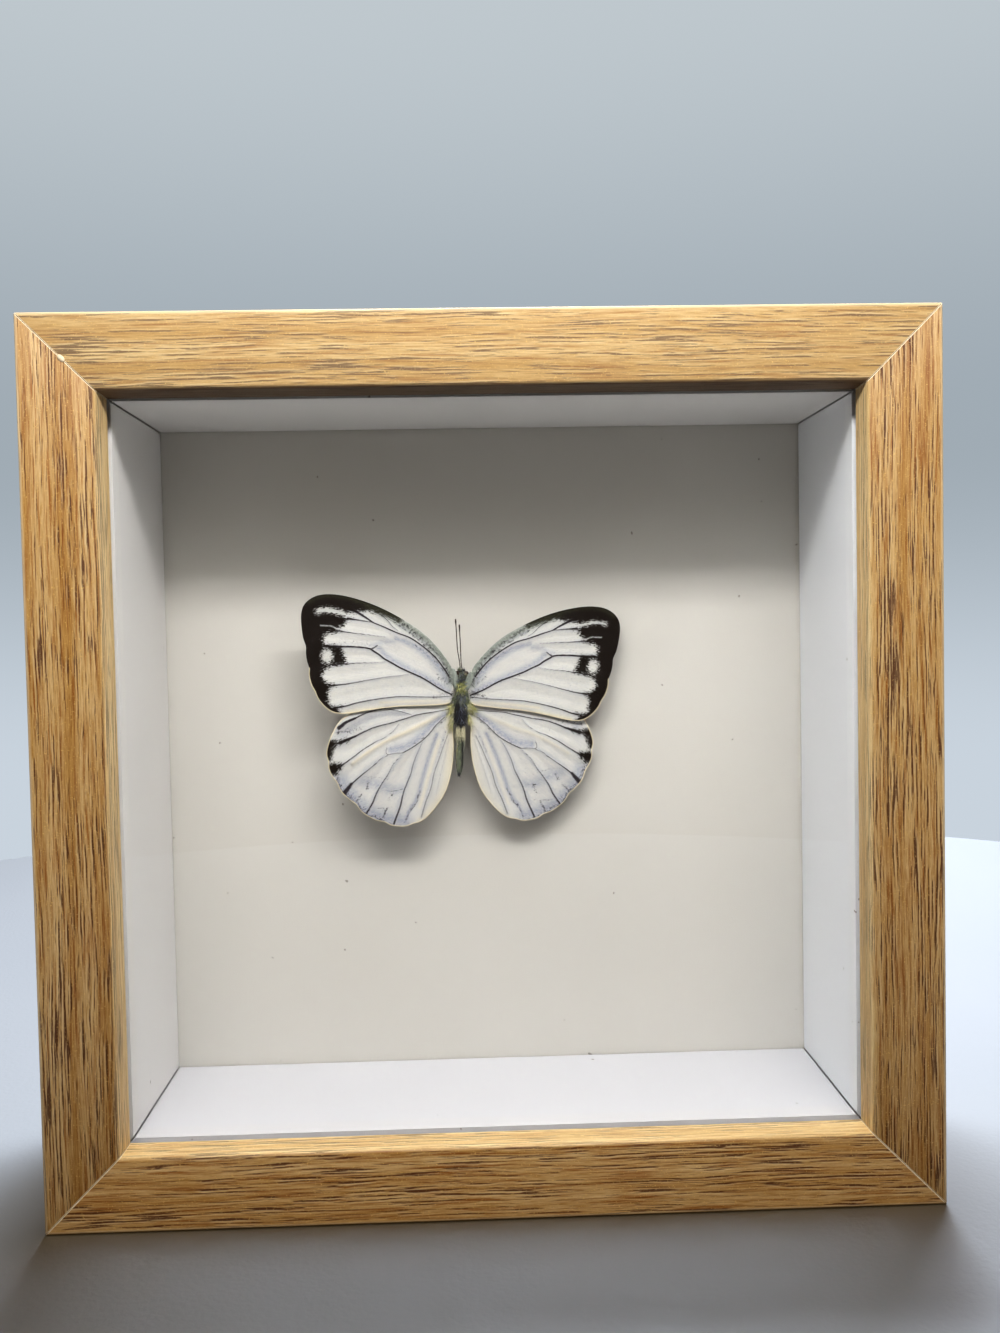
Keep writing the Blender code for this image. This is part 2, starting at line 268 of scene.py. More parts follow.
# %% Pale floor
# The strip lamp is aimed into the box, so the floor is left to the other two, and the floor is
# kept out of the pane's reflection.
FLOOR_RADIUS = 0.36

paper, tree, shader = new_finish("pale_floor", Roughness=0.6)
mottle = noise(tree, own_coordinates(tree), scale=9.0, detail=2.0)
painted(tree, shader, blended(tree, mottle, colour(192, 205, 225), colour(200, 212, 231)))
bumped(tree, shader, noise(tree, own_coordinates(tree), scale=900.0, detail=3.0), 0.0002, 0.4)

bm = bmesh.new()
bmesh.ops.create_circle(bm, cap_ends=True, segments=128, radius=FLOOR_RADIUS)
floor_mesh = bpy.data.meshes.new("floor")
bm.to_mesh(floor_mesh)
bm.free()
floor_mesh.materials.append(paper)
floor = bpy.data.objects.new("floor", floor_mesh)
bpy.context.scene.collection.objects.link(floor)
floor.visible_glossy = False

unlit_by_strip = bpy.data.collections.new("unlit_by_strip")
unlit_by_strip.objects.link(floor)
strip_lamp.light_linking.receiver_collection = unlit_by_strip
unlit_by_strip.collection_objects[0].light_linking.link_state = "EXCLUDE"
print("floor with", len(floor_mesh.polygons), "faces")

# %% [markdown]
# ## How a new piece joins the model
#
# Each piece is shaped in a bmesh, in metres or in a local frame in millimetres that is then
# turned into place. Its object stays at the origin and rides on the one body, "root".

# %% Piece helper
def make_piece(bm, name, materials, nodes=(), smooth=True):
    """Turns a finished bmesh into an object that stands for its CAD nodes."""
    mesh = bpy.data.meshes.new(name)
    bm.to_mesh(mesh)
    bm.free()
    for material in materials:
        mesh.materials.append(material)
    if smooth:
        mesh.polygons.foreach_set("use_smooth", [True] * len(mesh.polygons))
    piece = bpy.data.objects.new(name, mesh)
    bpy.context.scene.collection.objects.link(piece)
    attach(piece, "root")
    if nodes:
        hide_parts(*nodes)
    return piece


def carry(mesh, name, values):
    """Writes one number per point on the mesh, for the finish to read."""
    layer = mesh.attributes.new(name, "FLOAT", "POINT")
    layer.data.foreach_set("value", np.asarray(values, np.float32))


def is_vert(part):
    return isinstance(part, bmesh.types.BMVert)


def is_edge(part):
    return isinstance(part, bmesh.types.BMEdge)


print("piece helper ready")

# %% [markdown]
# ## The oak foil on the rails
#
# The rails are wrapped in a printed foil: golden oak with long dark pores, pale flecks beside
# them and a fine glitter. A wood grain has to run along each rail and fold over its edges, so
# it reads a UV map laid in metres: along the rail, and round its section. Stretched noise
# makes the bands and fibres. A second, sharper noise is cut off high up, which leaves only
# short dashes, and the same dashes moved sideways by a hair are their lit flanks.

# %% Oak foil
oak, tree, shader = new_finish("oak_foil_finish", Roughness=0.42, Specular_IOR_Level=0.45)
grain = node(tree, "UVMap", {"uv_map": "grain"}).outputs[0]
sway = noise(tree, stretched(tree, grain, (16.0, 60.0, 1.0)), detail=2.0)
sway_across = node(tree, "CombineXYZ", {}, {1: times(tree, sway, 0.0022)}).outputs[0]
grain_bent = node(tree, "VectorMath", {"operation": "ADD"}, {0: grain, 1: sway_across}).outputs[0]

bands = noise(tree, stretched(tree, grain_bent, (9.0, 330.0, 1.0)), detail=4.0, rough=0.6)
fibres = noise(tree, stretched(tree, grain_bent, (70.0, 1900.0, 1.0)), detail=4.0, rough=0.65)
hairs = noise(tree, stretched(tree, grain_bent, (260.0, 5200.0, 1.0)), detail=3.0, rough=0.7)
base = blended(tree, spread(tree, bands, 0.33, 0.68), colour(202, 162, 97), colour(231, 204, 155))
base = tinted(tree, spread(tree, fibres, 0.30, 0.55), base, (200, 160, 104))
base = tinted(tree, spread(tree, hairs, 0.26, 0.64), base, (220, 200, 156))

PORE_SCALE = (95.0, 2900.0, 1.0)
CROWDING_SHARE = 0.34
crowding = noise(tree, stretched(tree, grain_bent, (22.0, 260.0, 1.0), (3.1, 7.7, 0.0)), detail=2.0)


def dashes(aside, low, high):
    """The short dashes of the pores, which bunch up where the crowding is high."""
    field = noise(tree, stretched(tree, grain_bent, PORE_SCALE, (0.0, aside, 0.0)), detail=4.0, rough=0.62)
    return spread(tree, sums(tree, "MULTIPLY_ADD", crowding, CROWDING_SHARE, field), low, high)


pores = dashes(0.0, 0.715, 0.765)
flanks = dashes(0.85, 0.72, 0.785)
base = layered(tree, base, (times(tree, flanks, 0.34), (250, 232, 190)),
               (times(tree, pores, 0.90), (92, 48, 18)))

glitter = spread(tree, noise(tree, own_coordinates(tree), scale=3800.0, detail=2.0, rough=0.7), 0.60, 0.72)
base = layered(tree, base, (times(tree, glitter, 0.55), (255, 222, 140)))
# Painted light per rail: a lower value darkens a rail by a tint as painted shade, and the top rail, at 1,
# keeps its full colour and gets a pale painted sheen.
rail_painted_light = own_value(tree, "rail_painted_light")
base = tinted(tree, rail_painted_light, base, (236, 232, 226))
base = layered(tree, base, (times(tree, spread(tree, rail_painted_light, 0.8, 1.0), 0.18), (255, 240, 196)))
round_section = node(tree, "SeparateXYZ", {}, {0: grain}).outputs["Y"]
# A pale painted highlight along the rounded outer edge of every rail.
edge_painted_highlight = spread(tree, sums(tree, "ABSOLUTE", round_section), 0.0002, 0.0008, 0.45, 0.0)
base = layered(tree, base, (edge_painted_highlight, (255, 242, 208)))
# The inner lip is painted for light: on the bottom and side rails it is lightened as a painted highlight
# where the lamp falls on it, and on the top rail, whose lip faces down, it is darkened to brown as painted
# shade.
PAINTED_LIP_LIFT = (1.35, 1.5, 1.7, 1.0)
on_lip = spread(tree, round_section, 0.0119, 0.0130)
lip_painted_light = own_value(tree, "lip_painted_light")
lip_painted_shade = times(tree, on_lip, sums(tree, "SUBTRACT", 1.0, lip_painted_light))
lip_painted_highlight = blended(tree, 0.32, blended(tree, 1.0, base, PAINTED_LIP_LIFT, "MULTIPLY"), colour(255, 236, 188))
base = blended(tree, times(tree, on_lip, lip_painted_light), base, lip_painted_highlight)
base = layered(tree, base, (times(tree, lip_painted_shade, 0.86), (84, 58, 40)))
painted(tree, shader, base)
painted(tree, shader, spread(tree, pores, 0.0, 1.0, 0.40, 0.60), "Roughness")
height = sums(tree, "MULTIPLY_ADD", pores, -0.8, times(tree, fibres, 0.35))
bumped(tree, shader, height, 0.00005, 0.35)
print("oak foil ready")

# %% Rail core and the pale cut line of the mitres
core, tree, shader = new_finish("rail_core", Roughness=0.85)
place = own_coordinates(tree)
flecks = noise(tree, place, scale=1500.0, detail=4.0, rough=0.7)
clouds = noise(tree, place, scale=60.0, detail=2.0)
felted = blended(tree, flecks, colour(120, 88, 56), colour(176, 140, 98))
felted = blended(tree, times(tree, clouds, 0.5), felted, colour(140, 106, 70))
painted(tree, shader, felted)
bumped(tree, shader, flecks, 0.0002, 0.7)

cut_line, tree, shader = new_finish("foil_cut_edge", Roughness=0.6)
wear = noise(tree, own_coordinates(tree), scale=700.0, detail=3.0)
painted(tree, shader, blended(tree, wear, colour(232, 212, 172), colour(255, 246, 226)))
bumped(tree, shader, wear, 0.0001, 0.5)
print("core and cut line ready")

# %% [markdown]
# ## The four rails
#
# A rail is one L-shaped section swept straight and cut at 45 degrees at both ends. The CAD
# rails keep a gap for the solids; here the mitres close to a hair, and their edges get a tiny
# bevel in the pale cut colour, which is the light line seen on the real corners. The section
# starts as one face: extruding it, bevelling two long edges and cutting with two planes is
# how a framer would do it too.

# %% Rail section
LIP_DEPTH = 4.4 * MM
FACE_WIDTH = 12.5 * MM
RAIL_SIDE = 9.0 * MM
EDGE_RADIUS = 0.6 * MM
INNER_RADIUS = 0.7 * MM
MITRE_HAIR = 0.03 * MM
MITRE_BEVEL = 0.13 * MM
SECTION = [(0.0, DEPTH), (0.0, 0.0), (FACE_WIDTH, 0.0), (LIP_WIDTH, LIP_DEPTH), (RAIL_SIDE, LIP_DEPTH),
           (RAIL_SIDE, DEPTH)]
FOIL, CORE, CUT = 0, 1, 2


def long_edge(bm, inward, depth):
    """The edge that runs the whole length at one corner of the section."""
    def on_corner(vert):
        return abs(vert.co.z - inward) < 1e-5 and abs(vert.co.y - FRONT - depth) < 1e-5
    return next(e for e in bm.edges if all(on_corner(v) for v in e.verts))


def straight_rail():
    """The bottom rail before its mitres: along X, its outer side at z 0."""
    bm = bmesh.new()
    ring = [bm.verts.new((-OUTER / 2 - LIP_WIDTH, FRONT + depth, inward)) for inward, depth in SECTION]
    end = bm.faces.new(ring)
    swept = bmesh.ops.extrude_face_region(bm, geom=[end])["geom"]
    bmesh.ops.translate(bm, verts=[v for v in swept if is_vert(v)], vec=(OUTER + 2 * LIP_WIDTH, 0, 0))
    bmesh.ops.recalc_face_normals(bm, faces=bm.faces)
    for inward, radius in ((0.0, EDGE_RADIUS), (FACE_WIDTH, INNER_RADIUS)):
        bmesh.ops.bevel(bm, geom=[long_edge(bm, inward, 0.0)], offset=radius, segments=6, profile=0.5,
                        affect="EDGES", material=-1, clamp_overlap=False)
    return bm


def cut_mitre(bm, side):
    """Cuts one end at 45 degrees and closes it."""
    everything = bm.verts[:] + bm.edges[:] + bm.faces[:]
    bmesh.ops.bisect_plane(bm, geom=everything, dist=1e-7, plane_co=(side * (OUTER / 2 - MITRE_HAIR), 0, 0),
                           plane_no=(side, 0, 1), clear_outer=True)
    rim = [e for e in bm.edges if e.is_boundary]
    cap = bmesh.ops.contextual_create(bm, geom=rim)["faces"]
    for face in cap:
        face.material_index = CORE
    return rim


print("section corners:", len(SECTION))

# %% Cut, chamfer and unroll each rail
RAIL_TURNS = {"rail_bottom": 0, "rail_right": 1, "rail_top": 2, "rail_left": 3}
# how much painted light each rail gets: 1 keeps the full colour and the painted sheen, lower values darken
# the rail as painted shade
RAIL_PAINTED_LIGHT = {"rail_bottom": 0.60, "rail_right": 0.20, "rail_top": 1.0, "rail_left": 0.35}
# whether a rail's lip gets the painted highlight (1) or the painted shade (0)
LIP_PAINTED_LIGHTS = {"rail_bottom": 1.0, "rail_right": 1.0, "rail_top": 0.0, "rail_left": 1.0}
CHIP_ALONG = 7.4 * MM
CHIP_SIZE = 0.42 * MM
CHIP_SHAPE = (1.9, 0.7, 1.05, 1.0)


def unrolled(inward, depth):
    """Distance round the section, so that the grain folds over both long edges."""
    return inward - depth if inward < FACE_WIDTH / 2 else inward + depth


def face_material(face):
    centre = face.calc_center_median()
    inward, depth = centre.z, centre.y - FRONT
    hidden = depth > DEPTH - 1e-5 or (depth > LIP_DEPTH - 1e-5 and inward > RAIL_SIDE - 1e-5)
    return CORE if hidden else FOIL


def add_chip(bm):
    """A pale blob of filler that sits on the top left mitre."""
    spot = Vector((OUTER / 2 - CHIP_ALONG, FRONT, CHIP_ALONG))
    lean = Matrix.Translation(spot) @ Matrix.Rotation(math.radians(45), 4, "Y")
    shape = lean @ Matrix.Diagonal(CHIP_SHAPE)
    blob = bmesh.ops.create_icosphere(bm, subdivisions=3, radius=CHIP_SIZE, matrix=shape)["verts"]
    for face in {f for v in blob for f in v.link_faces}:
        face.material_index = CUT


for name, quarter in RAIL_TURNS.items():
    bm = straight_rail()
    for face in bm.faces:
        face.material_index = face_material(face)
    rims = cut_mitre(bm, -1) + cut_mitre(bm, 1)
    front_rims = [e for e in rims if e.is_valid and all(v.co.y < FRONT + LIP_DEPTH + 1e-5 for v in e.verts)
                  and any(f.material_index == FOIL for f in e.link_faces)]
    bmesh.ops.bevel(bm, geom=front_rims, offset=MITRE_BEVEL, segments=2, profile=0.5, affect="EDGES",
                    material=CUT)
    grain_layer = bm.loops.layers.uv.new("grain")
    for face in bm.faces:
        for loop in face.loops:
            at = loop.vert.co
            loop[grain_layer].uv = (at.x + 0.37 * quarter, unrolled(at.z, at.y - FRONT))
    if name == "rail_top":
        add_chip(bm)
    quarter_turn = Matrix.Rotation(-quarter * math.pi / 2, 4, "Y")
    bm.transform(Matrix.Translation(MIDDLE) @ quarter_turn @ Matrix.Translation(-MIDDLE))
    rail = make_piece(bm, "oak_" + name, [oak, core, cut_line], [name])
    rail.data.set_sharp_from_angle(angle=math.radians(35))
    for key, table in (("rail_painted_light", RAIL_PAINTED_LIGHT), ("lip_painted_light", LIP_PAINTED_LIGHTS)):
        carry(rail.data, key, [table[name]] * len(rail.data.vertices))
    print(rail.name, len(rail.data.polygons), "faces")

# %% [markdown]
# ## Glass, inner walls and boards
#
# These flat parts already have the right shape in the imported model, so they keep it and get
# finishes. The pane is plain clear glass: transmission and an index on the shader's own
# sockets. It is told not to cast a shadow, because the lamp's light has to pass through it.

# %% Glass
glass, tree, shader = new_finish("clear_pane", Roughness=0.0, IOR=1.45, Transmission_Weight=1.0)
shader.inputs["Base Color"].default_value = (0.965, 0.975, 0.970, 1.0)


def dress(node_name, material):
    """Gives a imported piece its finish."""
    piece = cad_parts[node_name]
    for slot in piece.material_slots:
        slot.material = material
    return piece


pane = dress("glass_pane", glass)
pane.visible_shadow = False
print("glass dressed")

# %% White inner walls
def white_finish(name, low, high):
    """White-wrapped board with a few scuffs and specks."""
    white, tree, shader = new_finish(name, Roughness=0.5, Specular_IOR_Level=0.35)
    place = own_coordinates(tree)
    drift = noise(tree, place, scale=22.0, detail=2.0)
    skin = blended(tree, drift, colour(*low), colour(*high))
    marks = noise(tree, stretched(tree, place, (60.0, 420.0, 60.0)), detail=4.0, rough=0.7)
    skin = blended(tree, spread(tree, marks, 0.70, 0.80, 0.0, 0.25), skin, colour(196, 194, 192))
    specks = spread(tree, noise(tree, place, scale=900.0, detail=1.0), 0.795, 0.83)
    skin = blended(tree, times(tree, specks, 0.7), skin, colour(110, 100, 92))
    painted(tree, shader, skin)
    bumped(tree, shader, noise(tree, place, scale=1400.0, detail=3.0), 0.00005, 0.5)
    return white


# The real walls share one white finish: the right wall's copy is lighter and bluer as painted light, and
# the bottom wall's copy is darker as painted shade.
side_white = white_finish("white_wall_finish", (221, 220, 220), (227, 226, 225))
right_wall_painted_light = white_finish("right_wall_painted_light_finish", (230, 233, 238), (235, 238, 243))
bottom_wall_painted_shade = white_finish("bottom_wall_painted_shade_finish", (200, 201, 207), (206, 207, 212))
for side in ("top", "left"):
    dress("wall_" + side, side_white)
dress("wall_right", right_wall_painted_light)
dress("wall_bottom", bottom_wall_painted_shade)
print("walls dressed")

# %% Pale mount board
cream, tree, shader = new_finish("mount_board_finish", Roughness=0.8, Specular_IOR_Level=0.3)
place = own_coordinates(tree)
pulp = noise(tree, place, scale=2600.0, detail=4.0, rough=0.7)
clouds = noise(tree, place, scale=30.0, detail=3.0)
sheet = blended(tree, clouds, colour(198, 196, 191), colour(203, 202, 199))
sheet = blended(tree, spread(tree, pulp, 0.3, 0.7, 0.0, 0.3), sheet, colour(205, 200, 188))
shifted = stretched(tree, place, (640.0, 640.0, 640.0), (5.2, 1.7, 3.3))
specks = spread(tree, noise(tree, shifted, detail=1.0), 0.80, 0.84)
sheet = blended(tree, times(tree, specks, 0.6), sheet, colour(96, 84, 76))
painted(tree, shader, sheet)
bumped(tree, shader, pulp, 0.00004, 0.6)
dress("mount_board", cream)
print("board dressed")

# %% [markdown]
# ## The back: hardboard, tabs, hanger
#
# Nobody sees the back on the wall, but the part is looked at from all sides. Hardboard is
# pressed brown fibre with a screen-textured face. The tabs are bent spring steel with a rolled
# grain, and the toothed hanger and its nails are yellow-plated.

# %% Hardboard
hardboard, tree, shader = new_finish("brown_hardboard_finish", Roughness=0.7)
place = own_coordinates(tree)
fuzz = noise(tree, place, scale=1900.0, detail=5.0, rough=0.75)
patches = noise(tree, place, scale=45.0, detail=3.0)
brown = blended(tree, fuzz, colour(92, 62, 40), colour(156, 114, 78))
brown = blended(tree, times(tree, patches, 0.6), brown, colour(118, 82, 54))
weave = cells(tree, 900.0)
painted(tree, shader, brown)
bumped(tree, shader, sums(tree, "MULTIPLY_ADD", weave, 0.8, fuzz), 0.00018, 0.8)
dress("backboard", hardboard)
print("hardboard dressed")


# %% Tabs and hanger
def rolled_metal(name, dark, light, stretch):
    """Metal with the fine parallel scratches of rolling and a few smudges."""
    metal, tree, shader = new_finish(name, Metallic=1.0, Anisotropic=0.3)
    place = own_coordinates(tree)
    scratches = noise(tree, stretched(tree, place, stretch), detail=4.0, rough=0.7)
    smudges = noise(tree, place, scale=260.0, detail=3.0)
    painted(tree, shader, blended(tree, scratches, colour(*dark), colour(*light)))
    painted(tree, shader, spread(tree, smudges, 0.3, 0.75, 0.28, 0.52), "Roughness")
    bumped(tree, shader, scratches, 0.00003, 0.5)
    return metal


spring_steel = rolled_metal("spring_steel_finish", (128, 128, 130), (196, 196, 198), (4000.0, 300.0, 300.0))
yellow_plate = rolled_metal("yellow_plate_finish", (150, 118, 60), (222, 188, 112), (300.0, 300.0, 4200.0))
for number in range(1, 9):
    dress("backing_tab_" + str(number), spring_steel)
for name in ("hanger_plate", "hanger_nail_left", "hanger_nail_right"):
    dress(name, yellow_plate)
print("fittings dressed")

# %% Foam riser behind the butterfly
foam, tree, shader = new_finish("foam_finish", Roughness=0.95)
bubbles = cells(tree, 3200.0)
painted(tree, shader, blended(tree, bubbles, colour(214, 214, 210), colour(240, 240, 238)))
bumped(tree, shader, bubbles, 0.0002, 0.9)
dress("foam_riser", foam)
print("riser dressed")

# %% [markdown]
# ## The butterfly's own frame
#
# The wings and body are shaped in millimetres in a frame of their own: X to the butterfly's
# right as it is seen, Z towards its head, and Y into the box. One matrix then lays a piece in
# the box, turned by the few degrees that the real one was set crooked.

# %% Butterfly frame
FLY_X = -5.1 * MM
FLY_Z = 84.6 * MM
FLY_DEPTH = 31.4 * MM
WING_DEPTH = 30.6 * MM
FLY_TURN = math.radians(3.6)
FLY_ROLL = 0.13
WING_DROOP = 0.6
WING_LAYER = 0.35
HINDWING_TURN = math.radians(4.5)
HINDWING_ROOT = (2.0, -1.0)
IN_BOX = Matrix.Translation((FLY_X, FRONT, FLY_Z)) @ Matrix.Rotation(FLY_TURN, 4, "Y") @ Matrix.Scale(MM, 4)
thorax_low, thorax_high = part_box("thorax")
print("thorax middle in the packed model:", [round(v, 4) for v in (thorax_low + thorax_high) / 2])
print("and by this frame:", [round(v, 4) for v in IN_BOX @ Vector((0.1, FLY_DEPTH / MM, -1.0))])

# %% [markdown]
# ## The wings
#
# A wing is a thin sheet whose outline everyone notices. Its sheet is one grid, bent so that its
# four sides lie on the costa, the outer margin, the hind margin and the short root. The grid
# lines then fan out from the root like the veins, which also gives the streaks of scales their
# direction. The markings are drawn as a maker would draw them: each vein is a smooth line
# through a few points, each dark patch an outline. Every point of the grid carries how far it
# is from those lines, and the finish turns that into ink, dust and cream.

# %% Outlines
FOREWING_OUTLINE = [(1.75, 2.4), (1.7, 4.2), (2.4, 6.8), (6.6, 11.6), (11.5, 14.8), (17.0, 17.3),
                    (22.5, 18.7), (26.5, 18.7), (29.0, 17.4), (30.0, 15.3), (29.8, 12.0), (28.9, 7.6),
                    (28.3, 3.8), (27.2, 0.6), (25.3, -1.9), (23.2, -3.1), (20.6, -3.1), (17.0, -2.4),
                    (12.0, -1.6), (6.6, -1.2), (2.1, -0.5)]
HINDWING_OUTLINE = [(2.0, -1.6), (4.5, 0.1), (9.0, 0.9), (14.0, 0.5), (18.0, -0.5), (20.8, -1.8),
                    (22.9, -3.4), (24.4, -5.9), (25.3, -8.5), (25.3, -11.0), (24.4, -13.6),
                    (23.1, -16.1), (21.5, -18.0), (19.1, -20.6), (16.0, -22.6), (13.0, -23.5),
                    (10.2, -23.6), (7.5, -22.4), (5.4, -20.3), (3.4, -17.3), (2.1, -13.0), (1.6, -8.4),
                    (1.8, -4.5)]
FOREWING_CORNERS = [0, 9, 15, 20]
HINDWING_CORNERS = [0, 7, 16, 22]


def smooth_line(points, closed=False, steps=14):
    """A Catmull-Rom curve through the given points."""
    given = np.array(points, float)
    count = len(given)
    share = np.linspace(0.0, 1.0, steps, endpoint=False)[:, None]
    pieces = []
    for i in range(count if closed else count - 1):
        ids = [(i + k) % count if closed else min(max(i + k, 0), count - 1) for k in (-1, 0, 1, 2)]
        a, b, c, d = (given[k] for k in ids)
        cubic = 2 * b + (c - a) * share + (2 * a - 5 * b + 4 * c - d) * share ** 2
        pieces.append(0.5 * (cubic + (3 * b - a - 3 * c + d) * share ** 3))
    if not closed:
        pieces.append(given[-1:])
    return np.concatenate(pieces)


def even_steps(line, count):
    """The same line, cut into equal steps."""
    run = np.concatenate([[0.0], np.cumsum(np.linalg.norm(np.diff(line, axis=0), axis=1))])
    at = np.linspace(0.0, run[-1], count)
    return np.stack([np.interp(at, run, line[:, k]) for k in (0, 1)], axis=1)


def four_sides(outline, corners, steps=14):
    """Cuts a closed outline at its four corners: costa, outer margin, hind margin, root."""
    rim = smooth_line(outline, closed=True, steps=steps)
    marks = [c * steps for c in corners]
    sides = []
    for first, last in zip(marks, marks[1:] + [marks[0] + len(rim)]):
        sides.append(rim[np.arange(first, last + 1) % len(rim)])
    return sides


print("forewing sides:", [len(side) for side in four_sides(FOREWING_OUTLINE, FOREWING_CORNERS)])

# %% Measuring on the sheet
def to_line(points, line, width=None):
    """How far each point is from a line, and how far along it the nearest place is."""
    best = np.full(len(points), 1e9)
    along = np.zeros(len(points))
    for k, (a, b) in enumerate(zip(line[:-1], line[1:])):
        step = b - a
        share = np.clip(((points - a) @ step) / max(step @ step, 1e-12), 0.0, 1.0)
        gap = np.hypot(*(points - a - share[:, None] * step).T)
        closer = gap < best
        best[closer] = gap[closer]
        along[closer] = (k + share[closer]) / (len(line) - 1)
    return best, along


def to_patch(points, outline):
    """Signed distance to a closed outline: below zero inside it."""
    ring = np.vstack([outline, outline[:1]])
    gap, _ = to_line(points, ring)
    inside = np.zeros(len(points), bool)
    for a, b in zip(ring[:-1], ring[1:]):
        spans = (a[1] > points[:, 1]) != (b[1] > points[:, 1])
        height = b[1] - a[1] if abs(b[1] - a[1]) > 1e-12 else 1e-12
        inside ^= spans & (points[:, 0] < a[0] + (points[:, 1] - a[1]) * (b[0] - a[0]) / height)
    return np.where(inside, -gap, gap)


def to_oval(points, centre, half):
    """Rough signed distance to an oval."""
    scaled = np.hypot((points[:, 0] - centre[0]) / half[0], (points[:, 1] - centre[1]) / half[1])
    return (scaled - 1.0) * min(half)


print("measuring helpers ready")

# %% Veins and marks of the forewing
# each vein: its points, half width at the root and at the end, how dark it is
FOREWING_VEINS = [
    ([(2.5, 4.6), (3.5, 6.0), (5.0, 7.8), (7.0, 9.5), (9.2, 11.0), (10.7, 11.7), (12.0, 12.1),
      (13.6, 12.7), (15.1, 13.3), (16.2, 13.7), (17.0, 14.0)], 0.17, 0.14, 0.95),
    ([(17.0, 14.0), (17.9, 14.6), (18.9, 15.2), (19.8, 15.7), (20.9, 16.2)], 0.16, 0.34, 1.0),
    ([(17.0, 14.0), (18.5, 14.15), (19.7, 14.3), (20.7, 14.4), (21.6, 14.5)], 0.13, 0.24, 1.0),
    ([(12.2, 12.6), (13.3, 13.4), (14.2, 14.4), (15.5, 15.5)], 0.08, 0.10, 0.85),
    ([(14.6, 11.4), (17.2, 11.6), (19.0, 11.75), (20.9, 11.9), (22.7, 12.1),
      (24.0, 12.15)], 0.06, 0.18, 0.9),
    ([(1.7, 1.0), (4.1, 2.1), (5.8, 3.1), (7.4, 4.0), (9.8, 5.0), (11.7, 5.8), (13.5, 6.75),
      (14.6, 7.3), (15.5, 8.0), (16.5, 8.6), (17.1, 9.0)], 0.16, 0.22, 1.0),
    ([(17.1, 9.0), (18.0, 9.2), (19.6, 9.3), (21.1, 9.3), (23.0, 9.25), (25.3, 9.25)], 0.19, 0.22, 1.0),
    ([(17.1, 9.0), (16.4, 9.4), (15.9, 9.8)], 0.17, 0.10, 0.95),
    ([(14.3, 6.8), (16.4, 6.5), (18.2, 6.4), (19.7, 6.3), (21.3, 6.1), (22.5, 6.0),
      (24.0, 5.7)], 0.06, 0.18, 0.9),
    ([(9.9, 4.6), (11.6, 4.3), (14.7, 3.8), (17.0, 3.3), (19.3, 2.8), (21.1, 2.4), (22.3, 2.2),
      (24.1, 2.0)], 0.06, 0.19, 0.9),
    ([(1.8, 0.8), (4.5, 0.5), (9.0, 0.4), (11.4, 0.35), (13.8, 0.05), (16.1, -0.35), (17.9, -0.75),
      (19.8, -1.25), (21.3, -1.75), (23.2, -2.1)], 0.12, 0.19, 0.9),
]
FOREWING_FLECKS = [
    ([(2.1, 3.6), (2.7, 5.2), (3.7, 7.0), (5.0, 8.8), (7.0, 10.6), (9.9, 12.9), (11.6, 14.0),
      (14.1, 15.0)], 0.42, 0.42, 0.80),
    ([(5.0, 8.0), (7.4, 10.3), (9.6, 12.0), (11.4, 13.2), (13.4, 14.4)], 0.34, 0.34, 0.72),
    ([(1.9, 1.0), (3.4, 1.2), (5.0, 0.4)], 1.0, 0.5, 0.72),
    ([(2.0, 3.0), (3.4, 3.4), (4.6, 4.8)], 0.9, 0.5, 0.6),
    ([(2.6, 4.6), (5.4, 7.4), (9.0, 10.2)], 0.50, 0.3, 0.62),
    ([(3.0, 1.8), (7.0, 3.9), (11.0, 5.2)], 0.50, 0.3, 0.6),
    ([(16.6, 9.3), (18.6, 10.0), (23.6, 10.2)], 0.4, 0.3, 0.42),
]
FOREWING_DUST = [
    ([(2.4, 3.6), (4.2, 6.0), (6.4, 8.1), (9.6, 10.2), (12.6, 11.2)], 0.95, 0.5, 0.95),
    ([(2.6, 1.9), (6.0, 3.7), (9.8, 5.5), (13.6, 7.4), (15.6, 9.2)], 0.75, 0.6, 0.9),
    ([(13.0, 10.6), (15.0, 10.4), (16.0, 9.9), (17.2, 9.6)], 0.6, 0.6, 0.6),
    ([(2.0, 0.4), (6.0, 0.4), (12.0, 0.2)], 0.7, 0.3, 0.5),
    ([(1.9, -0.2), (7.0, -0.9), (14.0, -1.6)], 0.5, 0.4, 0.4),
    ([(3.0, 6.2), (6.0, 9.8), (9.4, 12.2), (12.0, 13.6)], 0.6, 0.4, 0.7),
]
FOREWING_CREAM = [
    ([(2.0, -0.4), (8.0, -1.2), (15.0, -2.0), (21.0, -2.9)], 0.5, 0.45, 0.6),
    ([(4.0, -0.2), (9.0, -0.5), (15.0, -0.9)], 0.45, 0.3, 0.5),
]
FOREWING_OLIVE = [
    ([(1.8, 3.4), (2.4, 5.9), (4.4, 8.6), (7.6, 11.6), (11.2, 13.9), (14.5, 15.6),
      (18.0, 17.0)], 1.05, 0.7, 1.0),
    ([(18.0, 17.2), (22.0, 18.4), (26.5, 18.5), (28.6, 17.4)], 0.4, 0.6, 0.7),
]
